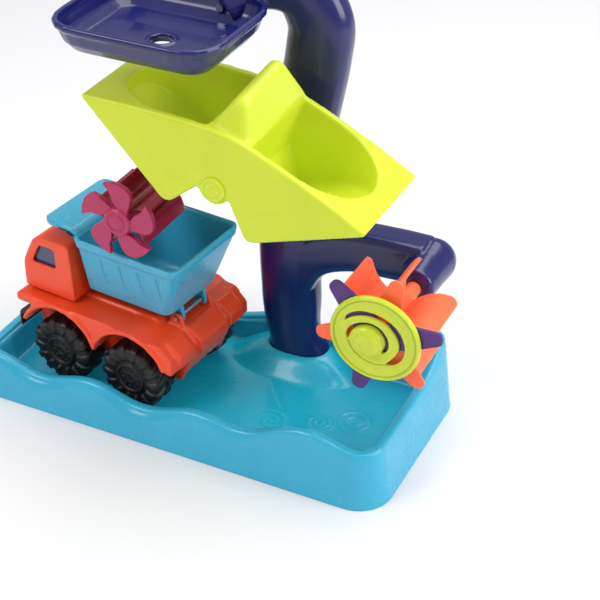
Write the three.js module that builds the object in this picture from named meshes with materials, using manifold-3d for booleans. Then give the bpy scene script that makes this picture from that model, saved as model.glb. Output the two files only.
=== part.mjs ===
// Sand and water table: a wavy-rimmed basin, a two-arm tower with a tipping double bucket, two water
// wheels and a top hopper, and the dump truck that parks in the basin. Millimetres, +Z up. The origin is
// on the ground under the middle of the basin; -Y is the side a child plays from.
import * as THREE from "three";
import { mergeVertices } from "three/addons/utils/BufferGeometryUtils.js";
import Module from "manifold-3d";

const wasm = await Module();
wasm.setup();

// Clearances
const REST_GAP = 0.3; // between faces that touch
const RUN_GAP = 0.4; // round a shaft, on the radius
const WALL = 2.8; // moulded wall of the tower and the bucket

const FAR = 600; // beyond the whole table
const SHORTEST_EDGE = 0.004; // edges shorter than this are closed up

// Basin
const TRAY_LENGTH = 500;
const TRAY_DEPTH = 232;
const TRAY_CORNER = 38;
const TRAY_WALL = 3;
const FLOOR_TOP = 12;
const RIM_LOW = 44; // mean rim height at the truck end
const RIM_HIGH = 69; // mean rim height at the wheel end
const CORNER_RISE = 27; // extra rise of the rim at the back corner of the wheel end
const RIM_WIDTH = 12;
const RIM_LEAN = 11; // how far the outer wall leans in from foot to rim
const WAVE_RISE = 6.5;
const WAVE_PERIOD = 126;
const WAVE_CREST_X = 158;
const PAD_RADIUS = 22; // foot pad under the middle of the floor

// Tower
const TOWER_X = 67;
const TOWER_Y = 80;
const TOWER_HALF_WIDTH = 34;
const TOWER_HALF_DEPTH = 22;
const FOOT_HALF_WIDTH = 45;
const FOOT_DEPTH = 18; // how deep the foot sits in its socket
const PLINTH_TOP = 34;
const PLINTH_WALL = 5;
const ARM_HALF_HEIGHT = 24;
const ARM_HALF_DEPTH = 20;
const ARM_CORNER = 0.5; // power of a limb's section: 1 gives an ellipse, near 0 a rectangle
const COLUMN_CORNER = 0.8;
const POST_RADIUS = 5.5; // screw posts that hold the two tower shells together
const SCREW_RADIUS = 1.7;
const SCREW_HEAD_RADIUS = 4;
const SCREW_HEAD_HEIGHT = 2.6;

// Tipping bucket: u runs along it, w stands on it, both from the pivot
const PIVOT_X = 58;
const PIVOT_Z = 316;
const BUCKET_FRONT = -86;
const BUCKET_DEPTH = 124;
const BUCKET_BACK = BUCKET_FRONT + BUCKET_DEPTH;
const BUCKET_MID = BUCKET_FRONT + BUCKET_DEPTH / 2;
const BUCKET_TILT = 14.6; // degrees, right end down
const BUCKET_HALF_LENGTH = 154;
const BUCKET_END_W = 31.5;
const BUCKET_CROWN = 31; // rise of the side edge from the ends to the middle
const BIN_TIP_U = 45;
const BIN_TIP_W = -42;
const NOTCH_W = 17.8;
const BIN_END_MARGIN = 22;
const BIN_SIDE_MARGIN = 8;
const DRAIN_U = 96;
const RIDGE_HALF_WIDTH = 28;
const RIDGE_TOP_W = 101;
const RIDGE_RISE = 0.16; // the ridge climbs a little towards the tower
const RIDGE_END_WALL = 7; // the bucket's wall in front of and behind the hollow under the ridge
const HUB_RADIUS = 16.5;
const PIN_RADIUS = 5;
const CAP_RADIUS = 12.5;
const CAP_THICKNESS = 3;
const STOP_RADIUS = 5;
const STOP_REACH = 34; // the stop pegs' depth under the pivot

// Spinner on the right arm
const SPIN_X = 220;
const SPIN_Z = 181.5;
const SPIN_FRONT = -68;
const DISC_RADIUS = 47.8;
const DISC_THICKNESS = 4.5;
const EYE_RADIUS = 18;
const EYE_RISE = 7.6;
const PETAL_RADIUS = 69.5;
const PETAL_WIDTH = 29; // at its root
const PETAL_TIP = 6.5; // radius of the round tip
const PETAL_THICKNESS = 4;
const PADDLE_RADIUS = 59;
const PADDLE_LENGTH = 72;
const PADDLE_HUB_LENGTH = 66;
const PADDLE_THICKNESS = 3.4;
const PADDLE_BOW = 8;
const PADDLE_CORNER = 9; // how far the outer back corner is rounded off
const SPIN_HUB_RADIUS = 11;
const SPIN_SLEEVE_RADIUS = 8;
const SPIN_SHAFT_RADIUS = 4;
const RIGHT_BARREL_RADIUS = 20;
const RIGHT_BARREL_FRONT = 33;
const RIGHT_BARREL_SWEEP = [3.5, 4]; // how far it rises and grows towards its back

// Mill on the left arm
const MILL_X = -58;
const MILL_Z = 246;
const MILL_FRONT = -78;
const MILL_RADIUS = 43;
const MILL_STAR_THICKNESS = 6;
const MILL_ROLLER_LENGTH = 84;
const MILL_FIN_RADIUS = 37;
const MILL_HUB_RADIUS = 15.5;
const MILL_DRUM_RADIUS = 13;
const MILL_BLADES = 5;
const MILL_BLADE_ANGLE = 39; // of the first blade's tip
const MILL_FIN_ANGLE = 24;
const LEFT_BARREL_RADIUS = 22;
const LEFT_BARREL_SWEEP = [0, 2];
const MILL_BARREL_FRONT = MILL_FRONT + MILL_STAR_THICKNESS + MILL_ROLLER_LENGTH + 4;

// Hopper
const HOPPER_X = -22;
const HOPPER_Y = -33;
const HOPPER_Z = 428;
const HOPPER_HEIGHT = 34;
const HOPPER_LENGTH = 164;
const HOPPER_DEPTH = 130;
const HOPPER_FLARE = 8;
const HOPPER_CORNER = 34;
const HOPPER_OUTLET_RADIUS = 11;

// Dump truck, in its own frame: x forward from the rear axle, y to its left, z from the basin floor
const TRUCK_X = -49;
const TRUCK_Y = -8;
const TRUCK_YAW = 174; // degrees
const WHEEL_RADIUS = 39;
const WHEEL_WIDTH = 36;
const WHEEL_BASE = 95;
const TRUCK_WIDTH = 150; // over the wheels
const WHEEL_GAP = 0.8; // under the tyres
const TREAD_CROWN = 0.7;
const AXLE_RADIUS = 3;
const ARCH_RADIUS = 49;
const ARCH_Z = WHEEL_RADIUS + 6; // the arches' centres lie above the axles
const ARCH_THICKNESS = 5.5;
const FENDER_END = 24; // degrees above the axle where a fender's free end stops
const DECK_Z = 101; // top of the chassis deck
const DECK_THICKNESS = 7;
const CHASSIS_BACK = -56;
const CHASSIS_LOW_Z = 62; // lower edge of the rear
const REAR_TOP_Z = 78; // where the rear's slope ends
const DECK_BACK = -40; // where the deck slopes down to the rear
const STEP_X = -14; // where the deck steps down behind the hinge
const STEP_DROP = 7;
const CHASSIS_FRONT = 152;
const BED_BOTTOM_Z = 107;
const BED_RIM_Z = 184;
const BED_BAND = 11; // height of the band round the bed's rim
const BED_WALL = 3;
const BED_HINGE_X = -32;
const BED_HINGE_Z = 102;
const BED_PIN_RADIUS = 3;
const BED_LUG_Y = 20;
const BED_EAR_GAP = 3; // from a lug's middle to the chassis ear beside it
const BED_EAR_WIDTH = 5;
const GUARD_RISE = 7; // the cab guard stands this far over the bed's rim

const COLOURS = {
  basin: ["#3fb0cd", 0.3, 0],
  navy: ["#17195c", 0.3, 0],
  lime: ["#c9dc2f", 0.5, 0],
  orange: ["#ff5a2b", 0.45, 0],
  purple: ["#5d2a7e", 0.45, 0],
  magenta: ["#c92a63", 0.45, 0],
  bed: ["#4db4d6", 0.4, 0],
  tyre: ["#231c1a", 0.8, 0],
  steel: ["#b9bcc0", 0.3, 1],
  window: ["#2a3b5c", 0.2, 0],
};

const table = new THREE.Group();

// Solids and geometry

function solid(geometry) {
  const bare = geometry.clone();
  for (const name of ["normal", "uv"]) bare.deleteAttribute(name);
  const merged = mergeVertices(bare, 1e-4);
  return new wasm.Manifold(
    new wasm.Mesh({
      numProp: 3,
      vertProperties: merged.attributes.position.array,
      triVerts: new Uint32Array(merged.index.array),
    }),
  );
}

function geometryOf(made) {
  const mesh = made.getMesh();
  return new THREE.BufferGeometry()
    .setAttribute("position", new THREE.BufferAttribute(mesh.vertProperties, 3))
    .setIndex(new THREE.BufferAttribute(mesh.triVerts, 1));
}

function union(pieces) {
  return pieces.reduce((all, piece) => all.add(piece));
}

function largestBody(made) {
  return made.decompose().reduce((best, body) => (body.volume() > best.volume() ? body : best));
}

function put(name, finish, made, parent = table) {
  const [color, roughness, metalness] = COLOURS[finish];
  const geometry = geometryOf(made.simplify(SHORTEST_EDGE));
  geometry.computeVertexNormals();
  const material = new THREE.MeshStandardMaterial({ color, roughness, metalness });
  const mesh = new THREE.Mesh(geometry, material);
  mesh.name = name;
  parent.add(mesh);
  return mesh;
}

// A closed skin over rings of equally many points, with a fan over the first and the last ring.
function loft(rings) {
  const count = rings[0].length;
  const points = rings.flat();
  const index = [];
  for (let r = 0; r + 1 < rings.length; r++)
    for (let i = 0; i < count; i++) {
      const a = r * count + i;
      const b = r * count + ((i + 1) % count);
      index.push(a, b, a + count, b, b + count, a + count);
    }
  const middle = (ring) =>
    ring.reduce((sum, p) => sum.add(p), new THREE.Vector3()).divideScalar(count);
  points.push(middle(rings[0]), middle(rings.at(-1)));
  const last = (rings.length - 1) * count;
  for (let i = 0; i < count; i++) {
    const j = (i + 1) % count;
    index.push(points.length - 2, j, i);
    index.push(points.length - 1, last + i, last + j);
  }
  const geometry = new THREE.BufferGeometry().setFromPoints(points).setIndex(index);
  let volume = 0;
  for (let i = 0; i < index.length; i += 3) {
    const [a, b, c] = [0, 1, 2].map((k) => points[index[i + k]]);
    volume += a.dot(new THREE.Vector3().crossVectors(b, c));
  }
  if (volume < 0) geometry.setIndex(index.slice().reverse());
  return solid(geometry);
}

// A shape drawn in x and z, carried along y from one depth to another.
function slab(shape, from, to, curveSegments = 10) {
  const geometry = new THREE.ExtrudeGeometry(shape, {
    depth: to - from,
    bevelEnabled: false,
    curveSegments,
  });
  return solid(geometry.rotateX(Math.PI / 2).translate(0, to, 0));
}

// A shape drawn in x and y, carried up z.
function plate(shape, from, to, curveSegments = 10) {
  const geometry = new THREE.ExtrudeGeometry(shape, {
    depth: to - from,
    bevelEnabled: false,
    curveSegments,
  });
  return solid(geometry.translate(0, 0, from));
}

function polygon(points) {
  return new THREE.Shape(points.map(([x, z]) => new THREE.Vector2(x, z)));
}

// A polygon whose corners are rounded by the third number of each point.
function roundedPolygon(points) {
  const at = points.map(([x, y]) => new THREE.Vector2(x, y));
  const shape = new THREE.Shape();
  at.forEach((corner, i) => {
    const before = at[(i + at.length - 1) % at.length];
    const after = at[(i + 1) % at.length];
    const reach = points[i][2] ?? 0;
    const start = corner.clone().add(before.clone().sub(corner).setLength(reach));
    const end = corner.clone().add(after.clone().sub(corner).setLength(reach));
    if (i === 0) shape.moveTo(start.x, start.y);
    else shape.lineTo(start.x, start.y);
    if (reach) shape.quadraticCurveTo(corner.x, corner.y, end.x, end.y);
  });
  shape.closePath();
  return shape;
}

function roundedRectangle(halfX, halfY, radius, x = 0, y = 0) {
  return roundedPolygon([
    [x - halfX, y - halfY, radius],
    [x + halfX, y - halfY, radius],
    [x + halfX, y + halfY, radius],
    [x - halfX, y + halfY, radius],
  ]);
}

function rod(radius, from, to, x = 0, z = 0, sides = 24) {
  const geometry = new THREE.CylinderGeometry(radius, radius, to - from, sides);
  return solid(geometry.translate(x, (from + to) / 2, z));
}

function post(radius, from, to, x = 0, y = 0, sides = 24) {
  const geometry = new THREE.CylinderGeometry(radius, radius, to - from, sides);
  return solid(geometry.rotateX(Math.PI / 2).translate(x, y, (from + to) / 2));
}

function block(from, to) {
  const size = to.map((v, i) => v - from[i]);
  const middle = to.map((v, i) => (v + from[i]) / 2);
  return solid(new THREE.BoxGeometry(...size).translate(...middle));
}

function turned(profile, sides = 32) {
  return solid(new THREE.LatheGeometry(profile.map(([r, y]) => new THREE.Vector2(r, y)), sides));
}

// A tube with a squarish round section: wide lies in the x-z plane, deep lies towards y.
function limb(path, wide, deep, power, steps, sides) {
  const rings = [];
  for (let s = 0; s <= steps; s++) {
    const t = s / steps;
    const centre = path.getPoint(t);
    const along = path.getTangent(t);
    const across = new THREE.Vector3(along.z, 0, -along.x).normalize();
    const depth = new THREE.Vector3().crossVectors(along, across);
    const ring = [];
    for (let i = 0; i < sides; i++) {
      const angle = (2 * Math.PI * i) / sides;
      const [c, d] = [Math.cos(angle), Math.sin(angle)];
      const u = Math.sign(c) * Math.abs(c) ** power * wide(t);
      const v = Math.sign(d) * Math.abs(d) ** power * deep(t);
      ring.push(centre.clone().addScaledVector(across, u).addScaledVector(depth, v));
    }
    rings.push(ring);
  }
  return loft(rings);
}

function curve(points) {
  return new THREE.CatmullRomCurve3(points.map((p) => new THREE.Vector3(...p)));
}

function above(z, made) {
  return made.intersect(block([-FAR, -FAR, z], [FAR, FAR, FAR]));
}

function smooth(x, from, to) {
  return THREE.MathUtils.smoothstep(x, from, to);
}

// Basin

function rimHeight(x, y) {
  const mean = RIM_LOW + (RIM_HIGH - RIM_LOW) * smooth(x, 0, TRAY_LENGTH * 0.4);
  const corner = CORNER_RISE * smooth(x, 100, 235) * smooth(y, 15, 95);
  return mean + corner + WAVE_RISE * Math.cos((2 * Math.PI * (x - WAVE_CREST_X)) / WAVE_PERIOD);
}

// One loop of the basin's plan, drawn in by inset, at the height that lift gives for each point.
function trayRing(inset, lift) {
  const halfX = TRAY_LENGTH / 2 - inset;
  const halfY = TRAY_DEPTH / 2 - inset;
  const radius = Math.max(TRAY_CORNER - inset, 4);
  const ring = [];
  const side = (x, y) => ring.push(new THREE.Vector3(x, y, lift(x, y)));
  const corner = (cx, cy, start) => {
    for (let k = 0; k <= 4; k++) {
      const angle = start + (k * Math.PI) / 8;
      side(cx + radius * Math.cos(angle), cy + radius * Math.sin(angle));
    }
  };
  const run = (from, to, y, count) => {
    for (let k = 1; k < count; k++) side(from + ((to - from) * k) / count, y);
  };
  const [cx, cy] = [halfX - radius, halfY - radius];
  corner(-cx, -cy, Math.PI);
  run(-cx, cx, -halfY, 22);
  corner(cx, -cy, 1.5 * Math.PI);
  for (let k = 1; k < 5; k++) side(halfX, -cy + (2 * cy * k) / 5);
  corner(cx, cy, 0);
  run(cx, -cx, halfY, 22);
  corner(-cx, cy, 0.5 * Math.PI);
  return ring;
}

const RIM_INNER = RIM_LEAN + RIM_WIDTH;
const FLOOR_INSET = RIM_INNER + 4;
const FOOT_Z = PLINTH_TOP - FOOT_DEPTH + REST_GAP;

function plinth() {
  const grow = FOOT_HALF_WIDTH + PLINTH_WALL;
  const back = TRAY_DEPTH / 2 - RIM_LEAN;
  const front = TOWER_Y - TOWER_HALF_DEPTH - PLINTH_WALL;
  const ring = (spread, z) =>
    roundedRectangle(grow + spread, (back - front) / 2 + spread / 2, 20, TOWER_X, (front + back) / 2)
      .getPoints(5)
      .slice(0, -1)
      .map((p) => new THREE.Vector3(p.x, Math.min(p.y, back), z));
  return loft([
    ring(34, FLOOR_TOP - TRAY_WALL),
    ring(30, FLOOR_TOP + 0.6),
    ring(17, FLOOR_TOP + 4),
    ring(8, FLOOR_TOP + 10),
    ring(2, PLINTH_TOP - 2),
    ring(-1, PLINTH_TOP),
  ]);
}

function tray() {
  const flat = (z) => () => z;
  const under = (drop) => (x, y) => rimHeight(x, y) - drop;
  const shell = loft([
    trayRing(FLOOR_INSET + 5, flat(FLOOR_TOP)),
    trayRing(FLOOR_INSET, flat(FLOOR_TOP + 1.2)),
    trayRing(RIM_INNER + 2, (x, y) => (FLOOR_TOP + rimHeight(x, y)) / 2),
    trayRing(RIM_INNER, under(2.5)),
    trayRing(RIM_INNER - 3, under(0.3)),
    trayRing(RIM_LEAN + 4, under(0)),
    trayRing(RIM_LEAN, under(1.6)),
    trayRing(RIM_LEAN - 1.5, under(5)),
    trayRing(0, flat(0)),
    trayRing(TRAY_WALL, flat(0)),
    trayRing(RIM_LEAN + TRAY_WALL, under(6)),
    trayRing(RIM_INNER - TRAY_WALL, under(6)),
    trayRing(FLOOR_INSET, flat(FLOOR_TOP - TRAY_WALL)),
  ]);
  const socket = above(FOOT_Z - REST_GAP, towerBody(-REST_GAP));
  const pad = post(PAD_RADIUS, 0, FLOOR_TOP - 1, 0, 0, 32);
  return union([shell, pad, plinth()]).subtract(socket);
}

// Tower

const HOPPER_BACK = HOPPER_Y + HOPPER_DEPTH / 2;
const NECK_END = [HOPPER_X + 30, HOPPER_BACK, HOPPER_Z + 19];

const columnPath = curve([
  [TOWER_X + 2, TOWER_Y, FOOT_Z - 14],
  [TOWER_X, TOWER_Y, PLINTH_TOP - 4],
  [TOWER_X - 7, TOWER_Y, 66],
  [TOWER_X - 9, TOWER_Y, 110],
  [TOWER_X - 11, TOWER_Y, 165],
  [TOWER_X - 5, TOWER_Y, 240],
  [TOWER_X + 8, TOWER_Y, 319],
  [TOWER_X + 22, TOWER_Y, 393],
  [TOWER_X + 24, TOWER_Y - 1, 430],
  [TOWER_X + 4, TOWER_Y - 5, 461],
  [TOWER_X - 32, TOWER_Y - 16, 464],
  NECK_END,
]);
const rightArmPath = curve([
  [TOWER_X - 8, TOWER_Y, SPIN_Z - 94],
  [TOWER_X - 2, TOWER_Y, SPIN_Z - 57],
  [TOWER_X + 20, TOWER_Y, SPIN_Z - 21],
  [TOWER_X + 60, TOWER_Y, SPIN_Z - 2],
  [SPIN_X - 42, TOWER_Y, SPIN_Z + 3],
  [SPIN_X - 5, TOWER_Y, SPIN_Z + 3.5],
]);
const leftArmPath = curve([
  [TOWER_X - 10, TOWER_Y, MILL_Z - 76],
  [TOWER_X - 18, TOWER_Y, MILL_Z - 40],
  [TOWER_X - 46, TOWER_Y, MILL_Z - 8],
  [TOWER_X - 82, TOWER_Y, MILL_Z + 2],
  [MILL_X, TOWER_Y, MILL_Z],
]);

// The tower's outer form, or with an inset its hollow; both arms end in barrels that face the front.
function towerBody(inset) {
  const coarse = inset > 0;
  const width = (t) => {
    const foot = (FOOT_HALF_WIDTH - TOWER_HALF_WIDTH + 4) * (1 - smooth(t, 0.02, 0.14));
    const waist = 4 * (1 - smooth(t, 0.14, 0.26));
    return TOWER_HALF_WIDTH + foot - waist - 10 * smooth(t, 0.7, 1) - inset;
  };
  const depth = (t) => TOWER_HALF_DEPTH - 4 * smooth(t, 0.7, 1) - inset;
  const armHigh = () => ARM_HALF_HEIGHT - inset;
  const armDeep = () => ARM_HALF_DEPTH - inset;
  const back = TOWER_Y + ARM_HALF_DEPTH - inset;
  const [right, left] = [RIGHT_BARREL_RADIUS - inset, LEFT_BARREL_RADIUS - inset];
  return union([
    limb(columnPath, width, depth, COLUMN_CORNER, coarse ? 14 : 22, coarse ? 10 : 18),
    limb(rightArmPath, armHigh, armDeep, ARM_CORNER, coarse ? 6 : 9, coarse ? 8 : 16),
    limb(leftArmPath, armHigh, armDeep, ARM_CORNER, coarse ? 5 : 7, coarse ? 8 : 16),
    barrel([SPIN_X, SPIN_Z], right, [RIGHT_BARREL_FRONT + inset, back], RIGHT_BARREL_SWEEP, coarse),
    barrel([MILL_X, MILL_Z], left, [MILL_BARREL_FRONT + inset, back], LEFT_BARREL_SWEEP, coarse),
  ]);
}

// A round barrel that rises by lift and grows towards its rounded back end.
function barrel([x, z], radius, [front, back], [lift, grow], coarse) {
  const sides = coarse ? 10 : 20;
  const stations = [
    [front, radius - 1.5],
    [front + 1.5, radius],
    [(front + back) / 2, radius + grow / 2],
    [back - 12, radius + grow],
    [back - 3, radius + grow - 4],
    [back, radius + grow - 10],
  ];
  return loft(
    stations.map(([y, r]) => {
      const rise = lift * smooth(y, front, back);
      return Array.from({ length: sides }, (_, i) => {
        const angle = (2 * Math.PI * i) / sides;
        return new THREE.Vector3(x + r * Math.cos(angle), y, z + rise + r * Math.sin(angle));
      });
    }),
  );
}

// Where the two shells are screwed together: x and z of each post.
const POSTS = [
  [TOWER_X - 3, 74],
  [TOWER_X - 8, 210],
  [TOWER_X + 14, 352],
  [MILL_X + 34, MILL_Z + 1],
  [SPIN_X - 40, SPIN_Z + 3],
];
const POST_BACK = TOWER_Y + 15;
const POST_FRONT = TOWER_Y - 15;

function towerShells() {
  const boss = rod(HUB_RADIUS - 2, BUCKET_BACK + 3, TOWER_Y - TOWER_HALF_DEPTH / 2, PIVOT_X, PIVOT_Z, 20);
  const whole = union([towerBody(0), boss, ...bucketStops()]);
  const outer = above(FOOT_Z, whole).subtract(hopperOuter(REST_GAP));
  const axis = [
    rod(PIN_RADIUS + REST_GAP, BUCKET_BACK, TOWER_Y - 4, PIVOT_X, PIVOT_Z),
    rod(SPIN_SHAFT_RADIUS + RUN_GAP, RIGHT_BARREL_FRONT - 5, TOWER_Y - 4, SPIN_X, SPIN_Z),
    rod(SPIN_SHAFT_RADIUS + RUN_GAP, MILL_BARREL_FRONT - 5, TOWER_Y - 4, MILL_X, MILL_Z),
    rod(SCREW_RADIUS + REST_GAP, HOPPER_BACK - 5, HOPPER_BACK + 17, NECK_END[0], NECK_END[2], 12),
  ];
  const seats = [
    rod(PIN_RADIUS + 5, TOWER_Y - TOWER_HALF_DEPTH, TOWER_Y - 1, PIVOT_X, PIVOT_Z, 16),
    rod(SPIN_SHAFT_RADIUS + 5, RIGHT_BARREL_FRONT, TOWER_Y - 1, SPIN_X, SPIN_Z, 16),
    rod(SPIN_SHAFT_RADIUS + 5, MILL_BARREL_FRONT, TOWER_Y - 1, MILL_X, MILL_Z, 16),
    rod(POST_RADIUS + 1, HOPPER_BACK, HOPPER_BACK + 18, NECK_END[0], NECK_END[2], 18),
  ];
  const reach = 2 * TOWER_HALF_DEPTH;
  const posts = POSTS.map(([x, z]) => rod(POST_RADIUS, TOWER_Y - reach, TOWER_Y + reach, x, z, 12));
  const holes = POSTS.flatMap(([x, z]) => [
    rod(SCREW_RADIUS + REST_GAP, POST_FRONT + 4, POST_BACK + 12, x, z, 12),
    rod(SCREW_HEAD_RADIUS + REST_GAP, POST_BACK, POST_BACK + 20, x, z, 16),
  ]);
  const hollow = towerBody(WALL).subtract(union([hopperOuter(REST_GAP + WALL), ...seats, ...posts]));
  const shell = outer.subtract(union([hollow, ...axis, ...holes]));
  const front = block([-FAR, -FAR, -FAR], [FAR, TOWER_Y - REST_GAP / 2, FAR]);
  const rear = block([-FAR, TOWER_Y + REST_GAP / 2, -FAR], [FAR, FAR, FAR]);
  return [shell.intersect(front), shell.intersect(rear)].map(largestBody);
}

// Two pegs under the pivot that meet the bins' inner walls at either end of the swing.
function bucketStops() {
  const tilt = THREE.MathUtils.degToRad(BUCKET_TILT);
  const [nx, nz, offset] = notchLine();
  const direction = new THREE.Vector2(nx, nz).rotateAround(new THREE.Vector2(), -tilt);
  const x = (offset - STOP_RADIUS - REST_GAP + STOP_REACH * direction.y) / direction.x;
  const [front, back] = [BUCKET_BACK - 14, TOWER_Y - TOWER_HALF_DEPTH / 2];
  return [-1, 1].map((side) => rod(STOP_RADIUS, front, back, PIVOT_X + side * x, PIVOT_Z - STOP_REACH, 16));
}

// The bin's inner wall as a line: its unit normal towards the bin, and its distance from the pivot.
function notchLine() {
  const along = new THREE.Vector2(BIN_TIP_U, BIN_TIP_W - NOTCH_W).normalize();
  return [-along.y, along.x, along.x * NOTCH_W];
}

// Screws that hold the rear shell, seen from behind

function shellScrew([x, z]) {
  const seat = POST_BACK + REST_GAP;
  const head = rod(SCREW_HEAD_RADIUS, seat, seat + SCREW_HEAD_HEIGHT, x, z, 20);
  const slots = [
    block([x - 2.4, POST_BACK + 1.6, z - 0.5], [x + 2.4, POST_BACK + 9, z + 0.5]),
    block([x - 0.5, POST_BACK + 1.6, z - 2.4], [x + 0.5, POST_BACK + 9, z + 2.4]),
  ];
  const shank = rod(SCREW_RADIUS, POST_FRONT + 6, POST_BACK + 1, x, z, 12);
  return head.add(shank).subtract(union(slots));
}

// Tipping bucket

function bucketEdge(u) {
  return BUCKET_END_W + BUCKET_CROWN * (1 - Math.abs(u / BUCKET_HALF_LENGTH) ** 1.4);
}

function bucketSide() {
  const edge = [];
  for (let k = 0; k <= 20; k++) {
    const u = BUCKET_HALF_LENGTH * (1 - k / 10);
    edge.push([u, bucketEdge(u)]);
  }
  const lip = 4;
  return roundedPolygon([
    ...edge,
    [-BUCKET_HALF_LENGTH + 1, BUCKET_END_W - lip, 1],
    [-BIN_TIP_U, BIN_TIP_W, 10],
    [0, NOTCH_W, 2],
    [BIN_TIP_U, BIN_TIP_W, 10],
    [BUCKET_HALF_LENGTH - 1, BUCKET_END_W - lip, 1],
  ]);
}

// The hollow of one bin: a tapering prism cut to a long round-ended plan.
function binHollow(side) {
  const halfY = BUCKET_DEPTH / 2 - BIN_SIDE_MARGIN;
  const top = RIDGE_TOP_W + 30;
  const endU = BUCKET_HALF_LENGTH - BIN_END_MARGIN;
  const slope = (BUCKET_END_W - BIN_TIP_W) / (BUCKET_HALF_LENGTH - BIN_TIP_U);
  const rise = WALL * Math.hypot(1, slope) + 1.5;
  const profile = roundedPolygon([
    [side * 20, top],
    [side * 24, 58],
    [side * 20, 6],
    [side * (BIN_TIP_U - 1), BIN_TIP_W + rise + 1.5, 6],
    [side * (BUCKET_HALF_LENGTH + 14), BUCKET_END_W + rise + 14 * slope],
    [side * (BUCKET_HALF_LENGTH + 14), top],
  ]);
  const straight = endU - 62;
  const plan = new THREE.Shape();
  plan.moveTo(0, -halfY);
  plan.lineTo(straight, -halfY);
  plan.absellipse(straight, 0, endU - straight, halfY, -Math.PI / 2, Math.PI / 2, false, 0);
  plan.lineTo(0, halfY);
  const upright = plate(plan, BIN_TIP_W, top, 12).translate([0, BUCKET_MID, 0]);
  const facing = side > 0 ? upright : upright.mirror([1, 0, 0]);
  return slab(profile, BUCKET_FRONT, BUCKET_BACK).intersect(facing);
}

// Rings of the ridge between the bins: half width, setback in front and behind, corner radius, height.
const RIDGE_SHOULDER = [
  [RIDGE_HALF_WIDTH - 4, 3, 6, 10, bucketEdge(0) - 2],
  [10, 13, 29, 8, RIDGE_TOP_W - 8],
];
const RIDGE_FOOT = [RIDGE_HALF_WIDTH, 2, 2, 6, bucketEdge(0) - 12];
const RIDGE_CREST = [
  [7, 16, 33, 6.5, RIDGE_TOP_W - 2],
  [2.5, 20, 37, 2.4, RIDGE_TOP_W],
];

function ridgeForm(rings, inset = 0) {
  const half = BUCKET_DEPTH / 2 - inset;
  return loft(
    rings.map(([halfU, front, back, radius, w]) =>
      roundedRectangle(
        halfU - inset,
        half - (front + back) / 2,
        Math.max(radius - inset, 1),
        0,
        BUCKET_MID + (front - back) / 2,
      )
        .getPoints(4)
        .slice(0, -1)
        .map((p) => new THREE.Vector3(p.x, p.y, w + RIDGE_RISE * (p.y - BUCKET_MID))),
    ),
  );
}

// The hollow under the ridge, open below, a wall inside the ridge's ends and both bins.
function ridgeHollow() {
  const top = RIDGE_TOP_W - 12;
  const under = polygon([
    [-18, -8],
    [-17, 6],
    [-20, 54],
    [-4, top],
    [4, top],
    [20, 54],
    [17, 6],
    [18, -8],
  ]);
  const foot = [RIDGE_HALF_WIDTH, 2, 2, 6, 2 * BIN_TIP_W];
  const room = ridgeForm([foot, RIDGE_FOOT, ...RIDGE_SHOULDER], WALL);
  return slab(under, BUCKET_FRONT + RIDGE_END_WALL, BUCKET_BACK - RIDGE_END_WALL).intersect(room);
}

function bucket() {
  const side = slab(bucketSide(), BUCKET_FRONT, BUCKET_BACK, 4);
  const hub = rod(HUB_RADIUS, BUCKET_FRONT, BUCKET_BACK, 0, 0, 32);
  const sleeve = rod(PIN_RADIUS + 3.5, BUCKET_FRONT, BUCKET_BACK, 0, 0, 20);
  const bore = rod(PIN_RADIUS + RUN_GAP, BUCKET_FRONT - 1, BUCKET_BACK + 1, 0, 0, 24);
  const capSeat = rod(CAP_RADIUS + REST_GAP, BUCKET_FRONT - 1, BUCKET_FRONT + 2, 0, 0, 32);
  const bins = [-1, 1].map(binHollow);
  return union([side, hub, ridgeForm([RIDGE_FOOT, ...RIDGE_SHOULDER, ...RIDGE_CREST])])
    .subtract(union(bins))
    .subtract(ridgeHollow())
    .add(sleeve)
    .subtract(union([bore, capSeat, drain(-1), drain(1)]));
}

// A round-ended drain slot through the sloping end wall of a bin.
function drain(side) {
  const shape = roundedRectangle(6, 13, 5.9, side * DRAIN_U, BUCKET_MID);
  return plate(shape, BIN_TIP_W, 16, 4);
}

function bucketGroup() {
  const group = new THREE.Group();
  group.position.set(PIVOT_X, 0, PIVOT_Z);
  group.rotation.y = THREE.MathUtils.degToRad(BUCKET_TILT);
  table.add(group);
  put("tipping_bucket", "lime", bucket(), group);
  put("bucket_pivot_cap", "lime", pivotCap(), group);
}

// The cap over the pivot pin, with two plain raised rings.
function pivotCap() {
  const back = BUCKET_FRONT + 2 - REST_GAP;
  const front = back - CAP_THICKNESS;
  const ring = (outer, inner) =>
    rod(outer, front - 0.8, front + 0.5, 0, 0, 24).subtract(rod(inner, front - 2, front + 1, 0, 0, 20));
  return union([rod(CAP_RADIUS, front, back, 0, 0, 24), ring(CAP_RADIUS - 0.4, 10), ring(6.5, 4.2)]);
}

function pivotPin() {
  return rod(PIN_RADIUS, BUCKET_FRONT + 2, TOWER_Y - 5, PIVOT_X, PIVOT_Z, 24);
}

// Spinner: spiral disc, three-petal star and six-paddle wheel on one shaft

// The disc's two spiral slots: angle in degrees, radius of the middle line, width.
const OUTER_SLOT = [
  [158, 34.8, 1.2],
  [148, 33.8, 4],
  [132, 31, 5.6],
  [112, 28, 6],
  [90, 25.6, 6],
  [62, 25, 5.6],
  [36, 25.6, 6.4],
  [8, 27.4, 6],
  [-14, 29, 6.4],
  [-38, 29.4, 7.4],
  [-56, 29.6, 5],
  [-66, 29.6, 1.2],
];
const INNER_SLOT = [
  [194, 29.4, 1.2],
  [184, 28.6, 4],
  [168, 25.8, 4.4],
  [150, 22, 4],
  [127, 18, 3.8],
  [95, 14.4, 4.2],
  [40, 11.4, 4.2],
  [-8, 12.8, 4.4],
  [-42, 14.8, 4],
  [-62, 16.2, 1.2],
];
const EYE = [-8, -4]; // the raised eye lies off the middle, inside the inner slot

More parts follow.
